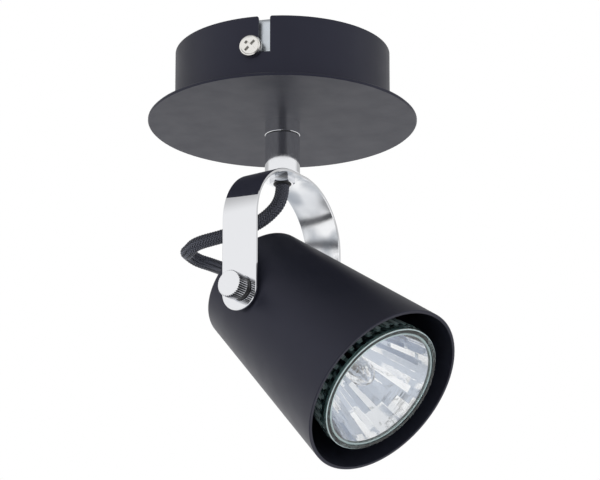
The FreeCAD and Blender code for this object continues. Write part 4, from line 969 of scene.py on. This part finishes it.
def make_world():
    """White studio. What mirrors see of it is dimmer overhead, and dark where one stands."""
    world = bpy.data.worlds.new("studio")
    world.use_nodes = True
    tree = world.node_tree
    tree.nodes.clear()
    towards = add(tree, "ShaderNodeTexCoord").outputs["Generated"]
    rise = add(tree, "ShaderNodeSeparateXYZ", {"Vector": towards}).outputs["Z"]
    overhead = add(tree, RAMP, {"Value": rise, "From Min": OVERHEAD_START,
                                "From Max": OVERHEAD_END, "To Min": 1.0, "To Max": OVERHEAD_LEVEL},
                   interpolation_type="SMOOTHSTEP")
    to_dark, to_far = [add(tree, VECTOR, (towards, side), operation="DOT_PRODUCT").outputs["Value"]
                       for side in (DARK_SIDE, FAR_SIDE)]
    gap = add(tree, RAMP, {"Value": to_dark, "From Min": DARK_EDGE, "From Max": DARK_CORE,
                           "To Min": 1.0, "To Max": 1.0 - DARKNESS},
              interpolation_type="SMOOTHSTEP")
    far = add(tree, RAMP, {"Value": to_far, "From Min": 0.0, "From Max": FAR_EDGE},
              interpolation_type="SMOOTHSTEP")
    high = add(tree, RAMP, {"Value": rise, "From Min": HORIZON, "From Max": WALL_RISE},
               interpolation_type="SMOOTHSTEP")
    behind = add(tree, MATH, (far, high), operation="MULTIPLY")
    dimming = add(tree, MATH, (behind, FAR_DIMMING), operation="MULTIPLY")
    wall = add(tree, MATH, (1.0, dimming), operation="SUBTRACT")
    room = add(tree, MATH, (overhead, wall), operation="MULTIPLY")
    level = add(tree, MATH, (room, gap), operation="MULTIPLY")
    soft = add(tree, "ShaderNodeBackground", {"Color": colour("#F6F8FB"), "Strength": SOFT_LEVEL})
    # glass shows the same room, but fainter
    dimmed = add(tree, MATH, (1.0, level), operation="SUBTRACT")
    lost = add(tree, MATH, (dimmed, GLASS_SHARE), operation="MULTIPLY")
    clear = add(tree, MATH, (1.0, lost), operation="SUBTRACT")
    path = add(tree, "ShaderNodeLightPath")
    mirrored = add(tree, "ShaderNodeBackground", {"Color": WHITE, "Strength": level})
    through = add(tree, "ShaderNodeBackground", {"Color": WHITE, "Strength": clear})
    shown = add(tree, "ShaderNodeBackground", {"Color": WHITE, "Strength": 1.0})
    whole = soft
    for ray, kind in (("Is Glossy Ray", mirrored), ("Is Transmission Ray", through),
                      ("Is Camera Ray", shown)):
        whole = add(tree, "ShaderNodeMixShader", (path.outputs[ray], whole, kind))
    add(tree, "ShaderNodeOutputWorld", {"Surface": whole})
    bpy.context.scene.world = world


def make_floor():
    """Round pale floor, which keeps the shadow and fades into the white round it."""
    made, tree, shader = new_material("pale_studio_floor", Base_Color=colour("#F4F4F4"),
                                      Roughness=0.8)
    place = add(tree, "ShaderNodeTexCoord").outputs["Object"]
    flat = add(tree, VECTOR, (place, (1, 1, 0)), operation="MULTIPLY")
    reach = add(tree, VECTOR, (flat,), operation="LENGTH")
    outer = add(tree, RAMP, {"Value": reach.outputs["Value"], "From Min": FLOOR_FADE_START,
                             "From Max": FLOOR_FADE_END}, interpolation_type="SMOOTHSTEP")
    white = add(tree, "ShaderNodeEmission", {"Color": WHITE, "Strength": 1.0})
    share = add(tree, MATH, (outer, seen_directly(tree)), operation="MULTIPLY")
    mixed = add(tree, "ShaderNodeMixShader", (share, shader, white))
    tree.links.new(mixed.outputs[0], tree.nodes["Material Output"].inputs["Surface"])
    mesh = bpy.data.meshes.new("floor")
    form = bmesh.new()
    bmesh.ops.create_circle(form, cap_ends=True, segments=FLOOR_SIDES, radius=FLOOR_REACH,
                            matrix=Matrix.Translation((0, 0, FLOOR_Z)))
    form.to_mesh(mesh)
    form.free()
    mesh.materials.append(made)
    floor = bpy.data.objects.new("floor", mesh)
    bpy.context.scene.collection.objects.link(floor)


def make_camera():
    """Camera of the fitted picture: its place and aim in the row frame."""
    turn = math.radians(CAMERA_AZIMUTH)
    rise = math.radians(CAMERA_RISE)
    right = Vector((math.cos(turn), math.sin(turn), 0))
    away = Vector((-math.sin(turn), math.cos(turn), 0))
    up = Vector((0, 0, 1))
    place = (right * -CAMERA_OFFSET - away * CAMERA_DISTANCE * math.cos(rise)
             + up * (FACE_Z - CAMERA_DISTANCE * math.sin(rise)))
    look = (right * math.sin(CAMERA_YAW) * math.cos(CAMERA_PITCH)
            + away * math.cos(CAMERA_YAW) * math.cos(CAMERA_PITCH) + up * math.sin(CAMERA_PITCH))
    across = right * math.cos(CAMERA_YAW) - away * math.sin(CAMERA_YAW)
    over = across.cross(look)
    data = bpy.data.cameras.new("camera")
    data.sensor_width = SENSOR_WIDTH
    data.lens = FOCAL_PIXELS / IMAGE_WIDTH * data.sensor_width
    data.clip_start = 0.1
    data.clip_end = 50.0
    camera = bpy.data.objects.new("camera", data)
    axes = Matrix((across, over, -look)).transposed().to_4x4()
    camera.matrix_world = Matrix.Translation(place * MM) @ axes
    bpy.context.scene.collection.objects.link(camera)
    bpy.context.scene.camera = camera


make_world()
make_floor()
make_camera()
bpy.context.scene.view_settings.view_transform = "Standard"
